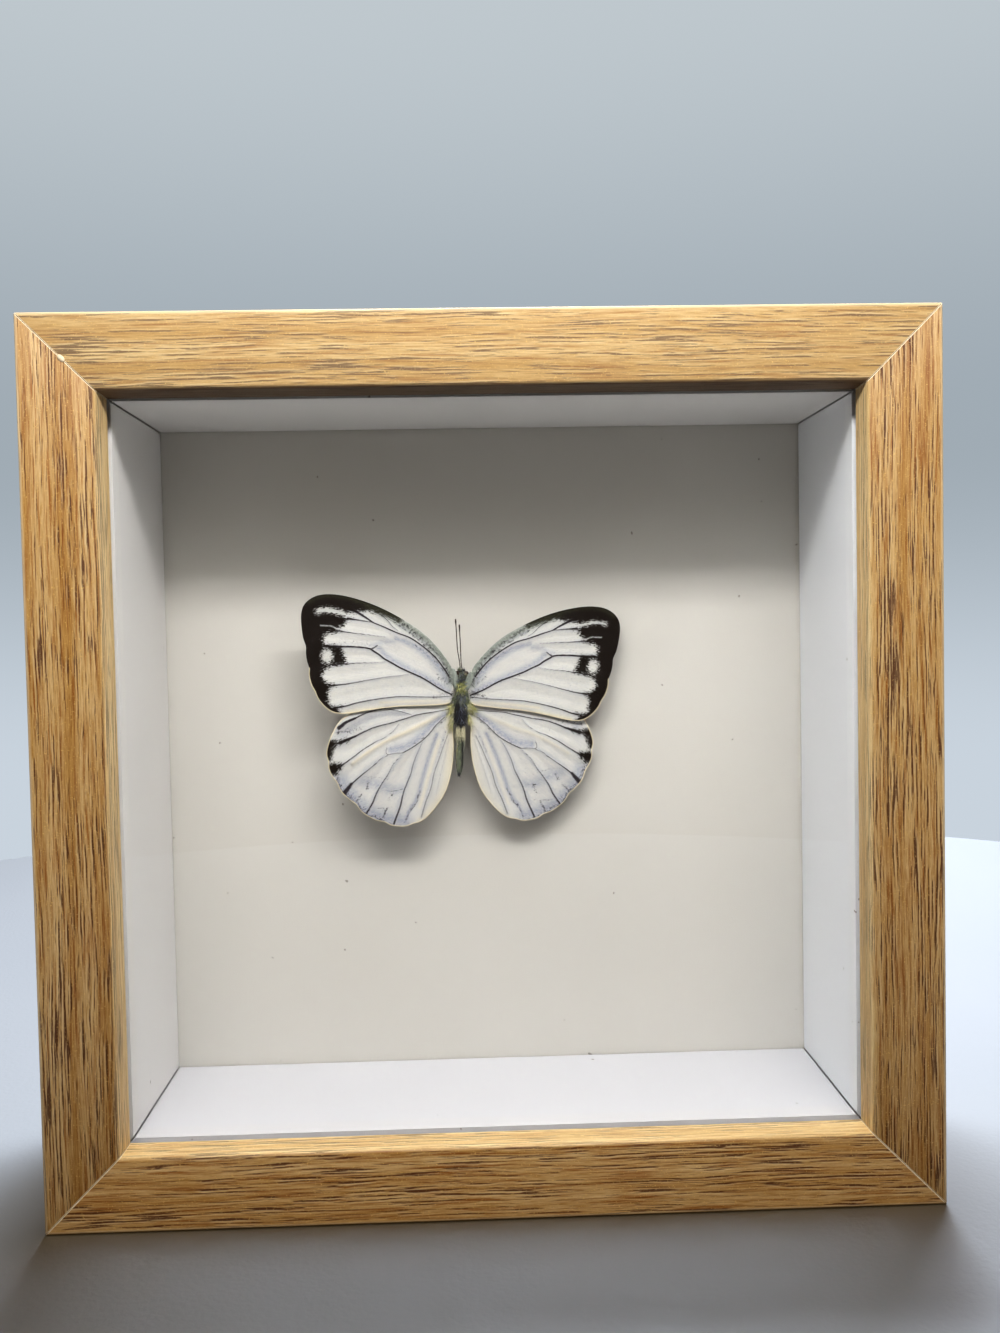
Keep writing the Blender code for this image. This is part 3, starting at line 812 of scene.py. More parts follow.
DARK_TIP = [(11.8, 14.45), (13.6, 14.95), (15.5, 15.45), (16.8, 15.9), (18.3, 16.0), (19.2, 15.85),
            (20.4, 15.75), (21.6, 15.6), (22.3, 15.2), (22.0, 14.7), (21.4, 14.55), (20.8, 14.35),
            (21.6, 14.15), (22.1, 13.6), (22.2, 13.1), (22.9, 12.7), (23.3, 12.4), (22.6, 12.15),
            (24.0, 11.75), (25.0, 11.6), (25.6, 11.2), (25.85, 10.7), (25.8, 10.2), (25.5, 9.6),
            (24.6, 9.45), (22.7, 9.35), (22.5, 9.05), (22.3, 8.6), (22.0, 7.7), (21.7, 7.0),
            (21.5, 6.4), (21.4, 6.15), (22.8, 5.85), (23.9, 5.6), (24.8, 5.2), (25.4, 4.7),
            (25.75, 4.1), (25.7, 3.4), (25.2, 2.8), (24.6, 2.4), (23.4, 2.15), (23.6, 1.9), (24.1, 1.6),
            (24.5, 1.0), (24.7, 0.3), (24.5, -0.3), (24.4, -0.8), (24.6, -1.2), (24.2, -1.55),
            (23.0, -1.85), (21.8, -1.75), (22.6, -2.2), (22.5, -2.6), (22.3, -3.0), (22.3, -4.4),
            (27.0, -4.5), (31.5, 0.0), (32.5, 10.0), (32.5, 17.0), (30.0, 21.0), (24.0, 21.5),
            (16.0, 18.9), (11.0, 16.4)]
WHITE_OVAL = ((25.05, 7.4), (1.0, 1.35))
# the pale streak near the tip is bolder on the left wing: its line, how far it clears the dark
TIP_STREAK = {1: ([(27.1, 15.6), (25.2, 15.85), (23.7, 15.5), (21.8, 15.0)], 0.16),
              -1: ([(26.9, 15.65), (25.6, 15.95), (24.6, 15.85), (23.4, 15.6), (22.3, 15.3)], 0.34)}
TIP_WISP = [(26.5, 13.0), (25.2, 13.0), (24.3, 12.9), (23.3, 12.45), (22.6, 12.5)]
FOREWING_NOTCHES = [(28.8, 9.2), (28.1, 5.2), (26.7, 1.0)]
print(len(FOREWING_VEINS), "forewing veins")

# %% Veins and marks of the hindwing
HINDWING_VEINS = [
    ([(9.3, -2.5), (10.6, -2.0), (12.0, -1.6), (14.3, -1.1), (16.4, -1.4), (18.1, -1.9),
      (19.7, -2.6)], 0.06, 0.19, 0.95),
    ([(19.7, -2.6), (21.4, -3.3), (22.1, -3.8), (22.8, -4.3)], 0.26, 0.52, 1.0),
    ([(2.2, -1.7), (4.7, -2.1), (8.1, -2.5), (9.9, -3.0), (13.4, -3.9), (15.8, -4.4), (17.9, -5.1),
      (19.8, -6.0)], 0.12, 0.17, 0.95),
    ([(19.8, -6.0), (21.4, -6.6), (22.7, -7.1)], 0.24, 0.42, 1.0),
    ([(11.7, -4.0), (12.8, -5.4), (14.6, -6.6), (15.9, -7.2), (18.4, -8.5), (20.0, -9.7), (21.4, -10.6),
      (22.8, -11.5)], 0.05, 0.19, 0.95),
    ([(3.1, -3.2), (4.8, -4.7), (5.9, -6.0), (7.3, -7.3), (9.1, -8.5), (11.2, -9.6)], 0.14, 0.12, 0.9),
    ([(11.2, -9.6), (12.6, -9.6), (13.9, -9.75), (14.3, -9.4), (14.1, -8.4)], 0.12, 0.07, 0.85),
    ([(13.8, -9.8), (15.4, -10.6), (16.8, -11.8), (18.4, -13.0), (20.0, -14.2),
      (21.4, -15.5)], 0.08, 0.17, 0.95),
    ([(21.0, -15.0), (21.8, -16.0), (22.6, -16.9)], 0.40, 0.66, 1.0),
    ([(11.5, -10.0), (13.1, -11.7), (14.1, -13.5), (15.3, -15.2), (16.4, -17.0), (17.2, -18.8),
      (18.4, -20.7)], 0.06, 0.21, 1.0),
    ([(7.3, -7.6), (8.3, -9.4), (9.3, -11.7), (9.8, -13.5), (10.5, -15.1), (11.4, -17.2), (12.0, -19.5),
      (12.7, -21.3), (13.4, -23.0)], 0.06, 0.21, 1.0),
    ([(2.7, -6.7), (3.7, -9.1), (4.5, -11.2), (5.5, -13.8), (6.2, -16.6), (7.3, -19.3),
      (8.2, -22.0)], 0.10, 0.13, 0.8),
    ([(2.4, -7.4), (3.1, -9.8), (4.2, -13.7), (5.2, -17.7)], 0.07, 0.05, 0.5),
]
HINDWING_FLECKS = [
    ([(17.8, -15.0), (18.3, -16.1)], 0.26, 0.28, 0.85),
    ([(19.2, -17.1), (20.2, -18.4)], 0.28, 0.4, 0.95),
    ([(13.3, -16.8), (14.0, -18.4)], 0.34, 0.3, 0.75),
    ([(14.6, -20.0), (15.6, -22.1)], 0.22, 0.34, 1.0),
    ([(8.3, -17.3), (9.2, -19.4), (10.2, -20.6)], 0.26, 0.4, 0.85),
    ([(10.6, -21.0), (11.3, -23.0)], 0.2, 0.3, 0.8),
    ([(2.4, -2.7), (3.8, -4.0), (5.3, -5.2), (7.0, -6.8), (9.4, -8.2)], 0.7, 0.4, 0.6),
    ([(2.2, -4.4), (3.4, -7.0), (4.6, -10.0)], 0.5, 0.3, 0.5),
    ([(24.6, -8.6), (24.7, -11.5), (23.6, -13.9), (22.9, -16.0)], 0.5, 0.75, 0.85),
    ([(22.6, -16.9), (21.2, -18.0), (19.5, -19.9), (18.4, -21.0), (16.9, -21.9),
      (15.5, -22.4)], 1.0, 0.9, 0.82),
    ([(15.5, -22.4), (14.0, -23.0), (12.0, -23.5), (10.4, -23.3)], 0.9, 0.5, 0.6),
    ([(22.9, -5.2), (21.0, -4.9), (18.8, -4.6)], 0.9, 0.6, 0.66),
    ([(15.0, -16.5), (13.3, -16.8), (11.5, -16.5)], 0.16, 0.12, 0.8),
    ([(17.0, -19.9), (15.1, -19.9), (13.4, -19.7)], 0.16, 0.12, 0.7),
    ([(19.4, -13.8), (16.3, -13.9), (13.5, -14.7)], 0.3, 0.2, 0.45),
]
HINDWING_DUST = [
    ([(3.2, -2.6), (5.6, -4.6), (8.0, -6.8), (10.4, -8.4), (13.2, -8.9)], 0.7, 0.9, 1.0),
    ([(4.7, -6.4), (6.3, -10.4), (7.1, -12.8), (8.0, -15.6), (8.6, -17.7), (9.3, -19.1), (10.6, -21.0),
      (11.3, -23.0)], 0.42, 0.45, 1.0),
    ([(22.8, -14.4), (20.8, -18.0), (18.0, -20.4), (15.0, -21.8), (11.4, -22.6)], 1.6, 1.4, 1.0),
    ([(18.9, -14.6), (16.2, -15.3), (13.4, -16.6), (11.5, -16.3)], 1.3, 1.0, 0.75),
    ([(8.0, -8.6), (9.8, -13.2), (11.4, -17.2), (13.4, -22.6)], 0.45, 0.6, 0.6),
    ([(11.5, -10.0), (14.1, -13.5), (16.4, -17.0), (18.4, -20.7)], 0.35, 0.5, 0.6),
    ([(14.5, -9.95), (18.2, -12.5), (21.5, -15.8)], 0.4, 0.6, 0.6),
    ([(10.0, -2.4), (14.0, -1.9), (18.0, -3.0), (22.4, -5.6)], 0.6, 1.1, 0.6),
    ([(3.1, -6.1), (5.7, -13.7), (8.2, -22.0)], 0.35, 0.45, 0.5),
]
HINDWING_CREAM = [
    ([(4.0, -2.9), (8.0, -4.6), (10.4, -5.7), (13.5, -6.9), (16.3, -8.3),
      (20.5, -11.0)], 0.42, 0.30, 0.62),
    ([(1.9, -3.0), (2.2, -9.0), (3.2, -15.5), (5.6, -20.0), (8.6, -22.6)], 1.0, 0.6, 0.5),
    ([(4.4, -7.6), (6.4, -14.0), (8.4, -20.0)], 0.5, 0.4, 0.4),
]
DARK_CRESCENT = [(21.4, -6.4), (22.8, -6.75), (24.2, -6.5), (26.5, -6.5), (27.0, -10.6), (24.7, -10.3),
                 (24.4, -9.8), (24.1, -8.8), (23.6, -7.9), (22.6, -7.2), (21.4, -6.9)]
DARK_WEDGE = [(22.5, -11.1), (23.3, -11.0), (24.3, -10.9), (26.0, -11.4), (25.4, -13.0), (23.7, -13.0),
              (23.1, -12.4)]
HINDWING_NOTCHES = [(25.0, -10.6), (23.4, -14.5), (20.3, -18.9), (15.3, -22.7), (9.8, -23.6)]
# the pale fold that crosses the hindwing, standing up from the sheet: points, half width, height
HINDWING_FOLD = [(3.4, -2.6), (8.0, -4.6), (10.4, -5.7), (13.5, -6.9), (16.3, -8.3), (20.5, -11.0)]
FOLD_REACH = 0.55
FOLD_HEIGHT = {1: 0.08, -1: 0.17}
print(len(HINDWING_VEINS), "hindwing veins")

# %% Sheet of a wing, with its measures
GRID_ALONG = 236
GRID_ACROSS = 150
WING_SHEET = 0.13
VEIN_RIDGE = 0.055
RIDGE_REACH = 0.2
DROOP_SPAN = 23
PLEAT = 0.16
PLEAT_REACH = 1.3
VEIN_FADE = 0.66
THIN_VEIN = 0.155
VEIN_HALO = 0.82
VEIN_DUST = 0.38
VEIN_DUST_HALO = 3.4
STREAK_SHADE = 0.95
STREAK_WIDTH = 0.12
STREAK_FALL = 0.9
WISP_SHADE = 0.62
WISP_WIDTH = 0.17
HINDWING_CREAM_SHARE = {1: 0.55, -1: 1.0}
NOTCH_DEPTH = 0.34
NOTCH_REACH = 0.95


def field(points, lines, halo=1.0, fade=1.0):
    """The strongest of several soft lines at each point: 1 on a line, falling to 0 beside it."""
    total = np.zeros(len(points))
    for line_points, root_width, end_width, strength in lines:
        gap, along = to_line(points, smooth_line(line_points, steps=6))
        width = (root_width + (end_width - root_width) * along) * halo
        thin = root_width < THIN_VEIN
        depth = strength * (fade + (1 - fade) * along if thin else 1.0)
        total = np.maximum(total, depth * np.exp(-(gap / width) ** 2))
    return total


def notched(points, notches):
    """Draws the sheet in a little at each notch of its margin, towards the root."""
    moved = points.copy()
    for notch in notches:
        inward = -np.array(notch) / np.hypot(*notch)
        near = np.exp(-(np.hypot(*(points - notch).T) / NOTCH_REACH) ** 2)
        moved += NOTCH_DEPTH * near[:, None] * inward
    return moved


def bent_sheet(outline, corners, notches):
    """A flat grid whose four sides are laid on the four sides of the outline."""
    costa, margin, hind, root = four_sides(outline, corners)
    top = even_steps(costa, GRID_ALONG + 1)
    outer = even_steps(margin[::-1], GRID_ACROSS + 1)
    low = even_steps(hind[::-1], GRID_ALONG + 1)
    inner = even_steps(root, GRID_ACROSS + 1)
    bm = bmesh.new()
    bmesh.ops.create_grid(bm, x_segments=GRID_ALONG, y_segments=GRID_ACROSS, size=1.0)
    flat = np.array([v.co[:2] for v in bm.verts])
    share = (flat + 1.0) / 2.0
    i = np.rint(share[:, 0] * GRID_ALONG).astype(int)
    j = np.rint(share[:, 1] * GRID_ACROSS).astype(int)
    s, t = share[:, :1], share[:, 1:]
    points = (1 - t) * low[i] + t * top[i] + (1 - s) * inner[j] + s * outer[j]
    points -= (1 - s) * ((1 - t) * low[0] + t * top[0]) + s * ((1 - t) * low[-1] + t * top[-1])
    return bm, notched(points, notches), share


def ripple(points, seed):
    """A gentle, repeatable unevenness of dry membrane, in millimetres."""
    u, v = points.T
    slow = np.sin(0.42 * u + 0.31 * v + seed) * np.sin(0.23 * u - 0.47 * v + 2 * seed)
    quick = np.sin(1.3 * u + 0.9 * v + 3 * seed) * np.sin(0.8 * u - 1.7 * v + seed)
    return 0.07 * slow + 0.018 * quick


print("sheet of", (GRID_ALONG + 1) * (GRID_ACROSS + 1), "points")

# %% [markdown]
# ### The wing finish
#
# The scales of a wing are powder-fine, so the paint is never a clean edge. The dark tip breaks
# up along streaks that run from root to margin, the veins are thin and a little uneven, and
# grey-blue dust gathers beside them. Two noises do this: one stretched along the fan of the
# sheet, one as fine as the scales.

# %% Wing finish
scales, tree, shader = new_finish("wing_scales", Roughness=0.72, Specular_IOR_Level=0.15)
fan = node(tree, "UVMap", {"uv_map": "fan"}).outputs[0]
place = own_coordinates(tree)
streak = noise(tree, stretched(tree, fan, (11.0, 150.0, 1.0)), detail=3.0, rough=0.6)
fringe = noise(tree, stretched(tree, fan, (44.0, 135.0, 1.0)), detail=3.0, rough=0.62)
specks = noise(tree, stretched(tree, fan, (70.0, 150.0, 1.0), (4.3, 1.7, 0.0)), detail=2.0, rough=0.6)
powder = noise(tree, place, scale=5600.0, detail=2.0, rough=0.6)
grains = noise(tree, place, scale=2300.0, detail=3.0, rough=0.7)
clouds = noise(tree, place, scale=420.0, detail=2.0)

skin = blended(tree, clouds, colour(199, 199, 195), colour(206, 204, 196))
skin = blended(tree, spread(tree, streak, 0.34, 0.66, 0.0, 0.30), skin, colour(178, 182, 192))
skin = blended(tree, spread(tree, grains, 0.42, 0.66, 0.0, 0.22), skin, colour(166, 170, 180))
skin = blended(tree, times(tree, own_value(tree, "cream"), 0.75), skin, colour(220, 208, 176))
dusting = times(tree, own_value(tree, "dust"), spread(tree, fringe, 0.25, 0.7, 0.35, 1.1))
dusting = times(tree, dusting, spread(tree, powder, 0.3, 0.65, 0.55, 1.0))
skin = blended(tree, dusting, skin, colour(138, 144, 164))
olive = times(tree, own_value(tree, "olive"), spread(tree, grains, 0.3, 0.6, 0.55, 1.0))
skin = blended(tree, olive, skin, colour(118, 126, 118))

fleck_field = roughened(tree, specks, 2.0, own_value(tree, "fleck"))
fleck_field = roughened(tree, grains, 2.8, fleck_field)
flecks = times(tree, spread(tree, fleck_field, 0.50, 1.25), 0.90)
skin = blended(tree, flecks, skin, colour(44, 40, 50))
ink = times(tree, own_value(tree, "vein"), spread(tree, fringe, 0.22, 0.55, 0.55, 1.0))
skin = blended(tree, spread(tree, ink, 0.14, 0.74), skin, colour(42, 38, 46))

ragged = roughened(tree, fringe, 2.9, own_value(tree, "dark"))
ragged = roughened(tree, grains, 1.5, ragged)
black = spread(tree, ragged, -0.34, 0.40, 1.0, 0.0)
dark_scales = blended(tree, fringe, colour(4, 2, 3), colour(22, 15, 16))
tip_olive = times(tree, own_value(tree, "olive"), spread(tree, specks, 0.35, 0.7, 0.08, 0.50))
dark_scales = blended(tree, tip_olive, dark_scales, colour(78, 82, 62))
skin = blended(tree, black, skin, dark_scales)
wisps = times(tree, own_value(tree, "pale"), spread(tree, fringe, 0.25, 0.6, 0.45, 1.0))
skin = blended(tree, spread(tree, wisps, 0.12, 0.7), skin, colour(184, 186, 184))
rim_share = spread(tree, own_value(tree, "rim"), 0.10, 0.24, 0.9, 0.0)
skin = blended(tree, rim_share, skin, colour(224, 212, 182))
painted(tree, shader, skin)
painted(tree, shader, spread(tree, black, 0.0, 1.0, 0.74, 0.58), "Roughness")
bumped(tree, shader, sums(tree, "MULTIPLY_ADD", powder, 0.5, streak), 0.00006, 0.7)
print("wing finish ready")


# %% Lay a wing in the box
def fan_map(mesh, share):
    """A UV map whose U runs from the root to the margin."""
    corner_points = np.empty(len(mesh.loops), int)
    mesh.loops.foreach_get("vertex_index", corner_points)
    mesh.uv_layers.new(name="fan").data.foreach_set("uv", share[corner_points].ravel())


def vein_gap(points, veins):
    gaps = [to_line(points, smooth_line(vein[0], steps=4))[0] for vein in veins]
    return np.min(gaps, axis=0)


def wing(name, sheet, side, layer, turn, marks, seed):
    bm, points, share, edge_line = sheet
    gap = vein_gap(points, marks["veins"])
    ridge = VEIN_RIDGE * np.exp(-(gap / RIDGE_REACH) ** 2)
    sag = PLEAT * (1 - np.exp(-(gap / PLEAT_REACH) ** 2)) * np.clip(share[:, 0] * 4, 0, 1)
    relief = ridge - sag + ripple(points, seed) + marks["fold"]
    pivot = np.array(HINDWING_ROOT)
    c, s = math.cos(turn), math.sin(turn)
    u, v = ((points - pivot) @ np.array([[c, s], [-s, c]]) + pivot).T
    u = side * u
    lift = -FLY_ROLL * u - WING_DROOP * (np.maximum(0.0, -v) / DROOP_SPAN) ** 1.5 + layer + relief
    laid = np.stack([u, WING_DEPTH / MM - lift, v], axis=1)
    piece = make_piece(bm.copy(), name, [scales])
    mesh = piece.data
    mesh.vertices.foreach_set("co", laid.ravel())
    if side < 0:
        mesh.flip_normals()
    mesh.transform(IN_BOX)
    fan_map(mesh, share)
    for key in ("vein", "fleck", "dust", "cream", "olive", "dark", "pale"):
        carry(mesh, key, marks[key])
    carry(mesh, "rim", to_line(points, edge_line)[0])
    thick = piece.modifiers.new("sheet", "SOLIDIFY")
    thick.thickness = WING_SHEET * MM
    thick.offset = 0.0
    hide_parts(name.replace("scaled_", ""))
    print(name, len(mesh.polygons), "faces before it gets its thickness")
    return piece


print("wing helper ready")


# %% Marks of each kind of wing
def shared_marks(points, veins, flecks, dust, cream, **own):
    """The measures that both kinds of wing have, and then the wing's own."""
    near_veins = VEIN_DUST * field(points, veins, VEIN_DUST_HALO)
    marks = {"veins": veins, "vein": field(points, veins, VEIN_HALO, VEIN_FADE),
             "fleck": field(points, flecks), "dust": np.maximum(field(points, dust), near_veins),
             "cream": field(points, cream)}
    blank = np.zeros(len(points))
    return {"fold": blank, "olive": blank, "pale": blank, **marks, **own}


def forewing_marks(points, side):
    dark = to_patch(points, smooth_line(DARK_TIP, closed=True, steps=3))
    dark = np.maximum(dark, -to_oval(points, *WHITE_OVAL))
    line, light = TIP_STREAK[side]
    streak_gap, _ = to_line(points, smooth_line(line))
    dark = np.maximum(dark, light - STREAK_FALL * streak_gap)
    wisp_gap, _ = to_line(points, smooth_line(TIP_WISP))
    bright_streak = STREAK_SHADE * np.exp(-(streak_gap / (STREAK_WIDTH + 0.6 * light)) ** 2)
    pale = np.maximum(bright_streak, WISP_SHADE * np.exp(-(wisp_gap / WISP_WIDTH) ** 2))
    return shared_marks(points, FOREWING_VEINS, FOREWING_FLECKS, FOREWING_DUST, FOREWING_CREAM,
                        olive=field(points, FOREWING_OLIVE), dark=dark, pale=pale)


def hindwing_marks(points, side):
    dark = to_patch(points, smooth_line(DARK_CRESCENT, closed=True, steps=4))
    dark = np.minimum(dark, to_patch(points, smooth_line(DARK_WEDGE, closed=True, steps=4)))
    fold_gap, _ = to_line(points, smooth_line(HINDWING_FOLD))
    fold = FOLD_HEIGHT[side] * np.exp(-(fold_gap / FOLD_REACH) ** 2)
    marks = shared_marks(points, HINDWING_VEINS, HINDWING_FLECKS, HINDWING_DUST, HINDWING_CREAM,
                         fold=fold, dark=dark)
    marks["cream"] = HINDWING_CREAM_SHARE[side] * marks["cream"]
    return marks


print("marks of the wings ready")

# %% The four wings
CREAM_RIM_TOP = 5.2
fore_sheet = bent_sheet(FOREWING_OUTLINE, FOREWING_CORNERS, FOREWING_NOTCHES)
_, margin, hind, _ = four_sides(FOREWING_OUTLINE, FOREWING_CORNERS)
fore_edge = notched(np.vstack([margin[margin[:, 1] < CREAM_RIM_TOP], hind]), FOREWING_NOTCHES)
hind_sheet = bent_sheet(HINDWING_OUTLINE, HINDWING_CORNERS, HINDWING_NOTCHES)
hind_edge = notched(np.vstack(four_sides(HINDWING_OUTLINE, HINDWING_CORNERS)[:3]), HINDWING_NOTCHES)
for word, side in (("left", -1), ("right", 1)):
    wing("scaled_forewing_" + word, (*fore_sheet, fore_edge), side, WING_LAYER, 0.0,
         forewing_marks(fore_sheet[1], side), 0.7 + side)
    wing("scaled_hindwing_" + word, (*hind_sheet, hind_edge), side, -WING_LAYER, side * HINDWING_TURN,
         hindwing_marks(hind_sheet[1], side), 2.1 + side)
fore_sheet[0].free()
hind_sheet[0].free()

# %% [markdown]
# ## Body, eyes and antennae
#
# Under its fur the body is three plain forms: a round head, an egg-shaped thorax and a slim
# turned abdomen. They only have to carry the fur and fill the gaps between the hairs, so
# spheres and one spun profile are enough.

# %% Body finishes
skin_finish, tree, shader = new_finish("body_skin", Roughness=0.62)
place = own_coordinates(tree)
bloom = noise(tree, place, scale=2400.0, detail=4.0, rough=0.7)
painted(tree, shader, blended(tree, bloom, colour(54, 57, 54), colour(134, 142, 126)))
bumped(tree, shader, bloom, 0.00008, 0.8)

eye_finish, tree, shader = new_finish("eye_finish", Roughness=0.28)
facets = cells(tree, 14000.0)
painted(tree, shader, blended(tree, facets, colour(62, 48, 38), colour(24, 18, 16)))
bumped(tree, shader, facets, 0.00002, 0.6)

fur, tree, shader = new_finish("fur_finish", Roughness=0.55)
tone = own_value(tree, "tone")
shades = node(tree, "ValToRGB", {}, {"Fac": tone})
FUR_STOPS = [(0.0, (12, 14, 22)), (0.12, (44, 52, 72)), (0.24, (146, 156, 180)), (0.34, (56, 56, 42)),
             (0.48, (136, 148, 130)), (0.64, (142, 148, 86)), (0.82, (202, 204, 126)),
             (1.0, (238, 232, 206))]
stops = shades.color_ramp.elements
while len(stops) < len(FUR_STOPS):
    stops.new(0.5)
for stop, (at, shade) in zip(stops, FUR_STOPS):
    stop.position = at
    stop.color = colour(*shade)
lustre = noise(tree, own_coordinates(tree), scale=3000.0, detail=1.0)
gloss = blended(tree, lustre, colour(205, 205, 205), colour(255, 255, 255))
painted(tree, shader, blended(tree, 1.0, shades.outputs[0], gloss, "MULTIPLY"))

flap_finish, tree, shader = new_finish("root_flap_scales", Roughness=0.7, Specular_IOR_Level=0.2)
place = own_coordinates(tree)
scaling = noise(tree, place, scale=3600.0, detail=3.0, rough=0.65)
patches = noise(tree, place, scale=900.0, detail=2.0)
pale = blended(tree, scaling, colour(106, 114, 112), colour(164, 170, 162))
pale = blended(tree, spread(tree, patches, 0.55, 0.75, 0.0, 0.6), pale, colour(88, 94, 92))
painted(tree, shader, pale)
bumped(tree, shader, scaling, 0.00006, 0.8)
print("body finishes ready")

# %% Head, thorax and abdomen
BODY_DEPTH = FLY_DEPTH / MM
HEAD = ((0.0, 0.0, 4.5), (1.1, 1.15, 1.35))
THORAX = ((0.1, 0.0, -0.8), (1.45, 1.9, 4.35))
EYES = [((side * 0.72, -0.42, 5.05), 0.56) for side in (-1, 1)]
ROOT_FLAPS = [((-1.3, -0.75, 3.95), (0.72, 0.42, 2.1), math.radians(-14)),
              ((1.3, -0.75, 3.6), (0.68, 0.42, 1.9), math.radians(12))]
ABDOMEN_PROFILE = [(-5.0, 0.0), (-5.1, 0.7), (-7.2, 0.78), (-9.5, 0.66), (-12.0, 0.70), (-13.5, 0.52),
                   (-14.4, 0.2), (-14.6, 0.0)]
ABDOMEN_U = 0.3
RING_STEP = 1.15
RING_DEPTH = 0.055


def body_matrix(centre, half=(1.0, 1.0, 1.0)):
    at = Vector(centre) + Vector((0.0, BODY_DEPTH, 0.0))
    return IN_BOX @ Matrix.Translation(at) @ Matrix.Diagonal((*half, 1.0))


def add_second(bm, shape, around, along):
    """Adds a ball, turned and stretched by its matrix, that wears the piece's second finish."""
    ball = bmesh.ops.create_uvsphere(bm, u_segments=around, v_segments=along, radius=1.0, matrix=shape)
    for face in {f for v in ball["verts"] for f in v.link_faces}:
        face.material_index = 1


bm = bmesh.new()
bmesh.ops.create_uvsphere(bm, u_segments=40, v_segments=28, radius=1.0, matrix=body_matrix(*HEAD))
for centre, radius in EYES:
    add_second(bm, body_matrix(centre, (radius,) * 3), 32, 20)
make_piece(bm, "furred_head", [skin_finish, eye_finish], ["head"])

bm = bmesh.new()
bmesh.ops.create_uvsphere(bm, u_segments=48, v_segments=36, radius=1.0, matrix=body_matrix(*THORAX))
for middle, half, lean in ROOT_FLAPS:
    shape = body_matrix(middle) @ Matrix.Rotation(lean, 4, "Y") @ Matrix.Diagonal((*half, 1.0))
    add_second(bm, shape, 32, 24)
make_piece(bm, "furred_thorax", [skin_finish, flap_finish], ["thorax"])

profile = smooth_line(ABDOMEN_PROFILE, steps=10)
bm = bmesh.new()
spine = []
for v, radius in profile:
    waist = RING_DEPTH * math.cos(2 * math.pi * v / RING_STEP) ** 8
    spine.append(bm.verts.new((max(radius - waist, 0.0), 0.0, v)))
lines = [bm.edges.new(pair) for pair in zip(spine, spine[1:])]
bmesh.ops.spin(bm, geom=spine + lines, axis=(0, 0, 1), cent=(0, 0, 0), angle=2 * math.pi, steps=32,
               use_merge=True)
bmesh.ops.remove_doubles(bm, verts=bm.verts, dist=1e-4)
bmesh.ops.recalc_face_normals(bm, faces=bm.faces)
bm.transform(body_matrix((ABDOMEN_U, 0.0, 0.0)))
make_piece(bm, "ringed_abdomen", [skin_finish], ["abdomen"])
print("head, thorax and abdomen made")

# %% Antennae
# Each one is a hair-thin jointed stalk that swells into a small club at its end.
ANTENNA_LINES = {
    "antenna_left": [(-0.35, 5.6), (-0.5, 7.0), (-0.85, 8.6), (-1.07, 9.8), (-1.35, 12.4),
                     (-1.65, 15.3)],
    "antenna_right": [(0.05, 5.6), (-0.22, 7.0), (-0.38, 8.6), (-0.48, 9.8), (-0.68, 12.0),
                      (-0.9, 14.3)],
}
ANTENNA_RADIUS = 0.10
CLUB_RADIUS = 0.16
CLUB_SHARE = 0.86

stalk, tree, shader = new_finish("antenna_finish", Roughness=0.5)
joints = noise(tree, stretched(tree, own_coordinates(tree), (400.0, 400.0, 3800.0)), detail=1.0)
painted(tree, shader, blended(tree, spread(tree, joints, 0.4, 0.6), colour(26, 21, 21), colour(78, 66, 58)))


def antenna(name, points):
    line = even_steps(smooth_line(points), 70)
    bm = bmesh.new()
    ring = bmesh.ops.create_circle(bm, segments=8, radius=1.0, cap_ends=True)["verts"]
    cap = list({f for v in ring for f in v.link_faces})
    tube = [ring]
    for _ in line[1:]:
        grown = bmesh.ops.extrude_face_region(bm, geom=cap)["geom"]
        cap = [part for part in grown if isinstance(part, bmesh.types.BMFace)]
        tube.append([part for part in grown if is_vert(part)])
    for k, ((u, v), verts) in enumerate(zip(line, tube)):
        share = k / (len(line) - 1)
        club = max(0.0, (share - CLUB_SHARE) / (1 - CLUB_SHARE))
        radius = ANTENNA_RADIUS + (CLUB_RADIUS - ANTENNA_RADIUS) * math.sin(math.pi * min(club * 0.75, 1.0))
        radius *= 0.92 + 0.08 * math.cos(k * math.pi)
        around = [vert.co.copy() for vert in verts]
        for vert, old in zip(verts, around):
            vert.co = (u + old.x * radius, BODY_DEPTH + old.y * radius, v)
    bmesh.ops.recalc_face_normals(bm, faces=bm.faces)
    bm.transform(IN_BOX)
    make_piece(bm, "jointed_" + name, [stalk], [name])


for name, points in ANTENNA_LINES.items():
    antenna(name, points)
print("antennae made")

# %% [markdown]
# ## Fur
#
# The thorax is furred: yellow-green at the collar, blue-black behind, pale tufts at the sides
# and the waist. Real hairs are made as thin three-sided cones, all joined in one piece. One
# cone is cut into three lengths and doubled again and again, so operators make every hair,
# and then each hair is laid from its own root, bent a little and given its own shade.

# %% Strands
HAIR_POINTS = 12


def strand_bundle(count):
    """At least count straight unit strands, all in one bmesh, each with the same twelve points."""
    bm = bmesh.new()
    bmesh.ops.create_cone(bm, cap_ends=True, segments=3, radius1=1.0, radius2=0.12, depth=1.0,
                          matrix=Matrix.Translation((0, 0, 0.5)))
    sides = [e for e in bm.edges if abs(e.verts[0].co.z - e.verts[1].co.z) > 0.5]
    bmesh.ops.subdivide_edges(bm, edges=sides, cuts=2)
    made = 1
    while made < count:
        bmesh.ops.duplicate(bm, geom=bm.verts[:] + bm.edges[:] + bm.faces[:])
        made *= 2
    return bm, made


print("strand helper ready")

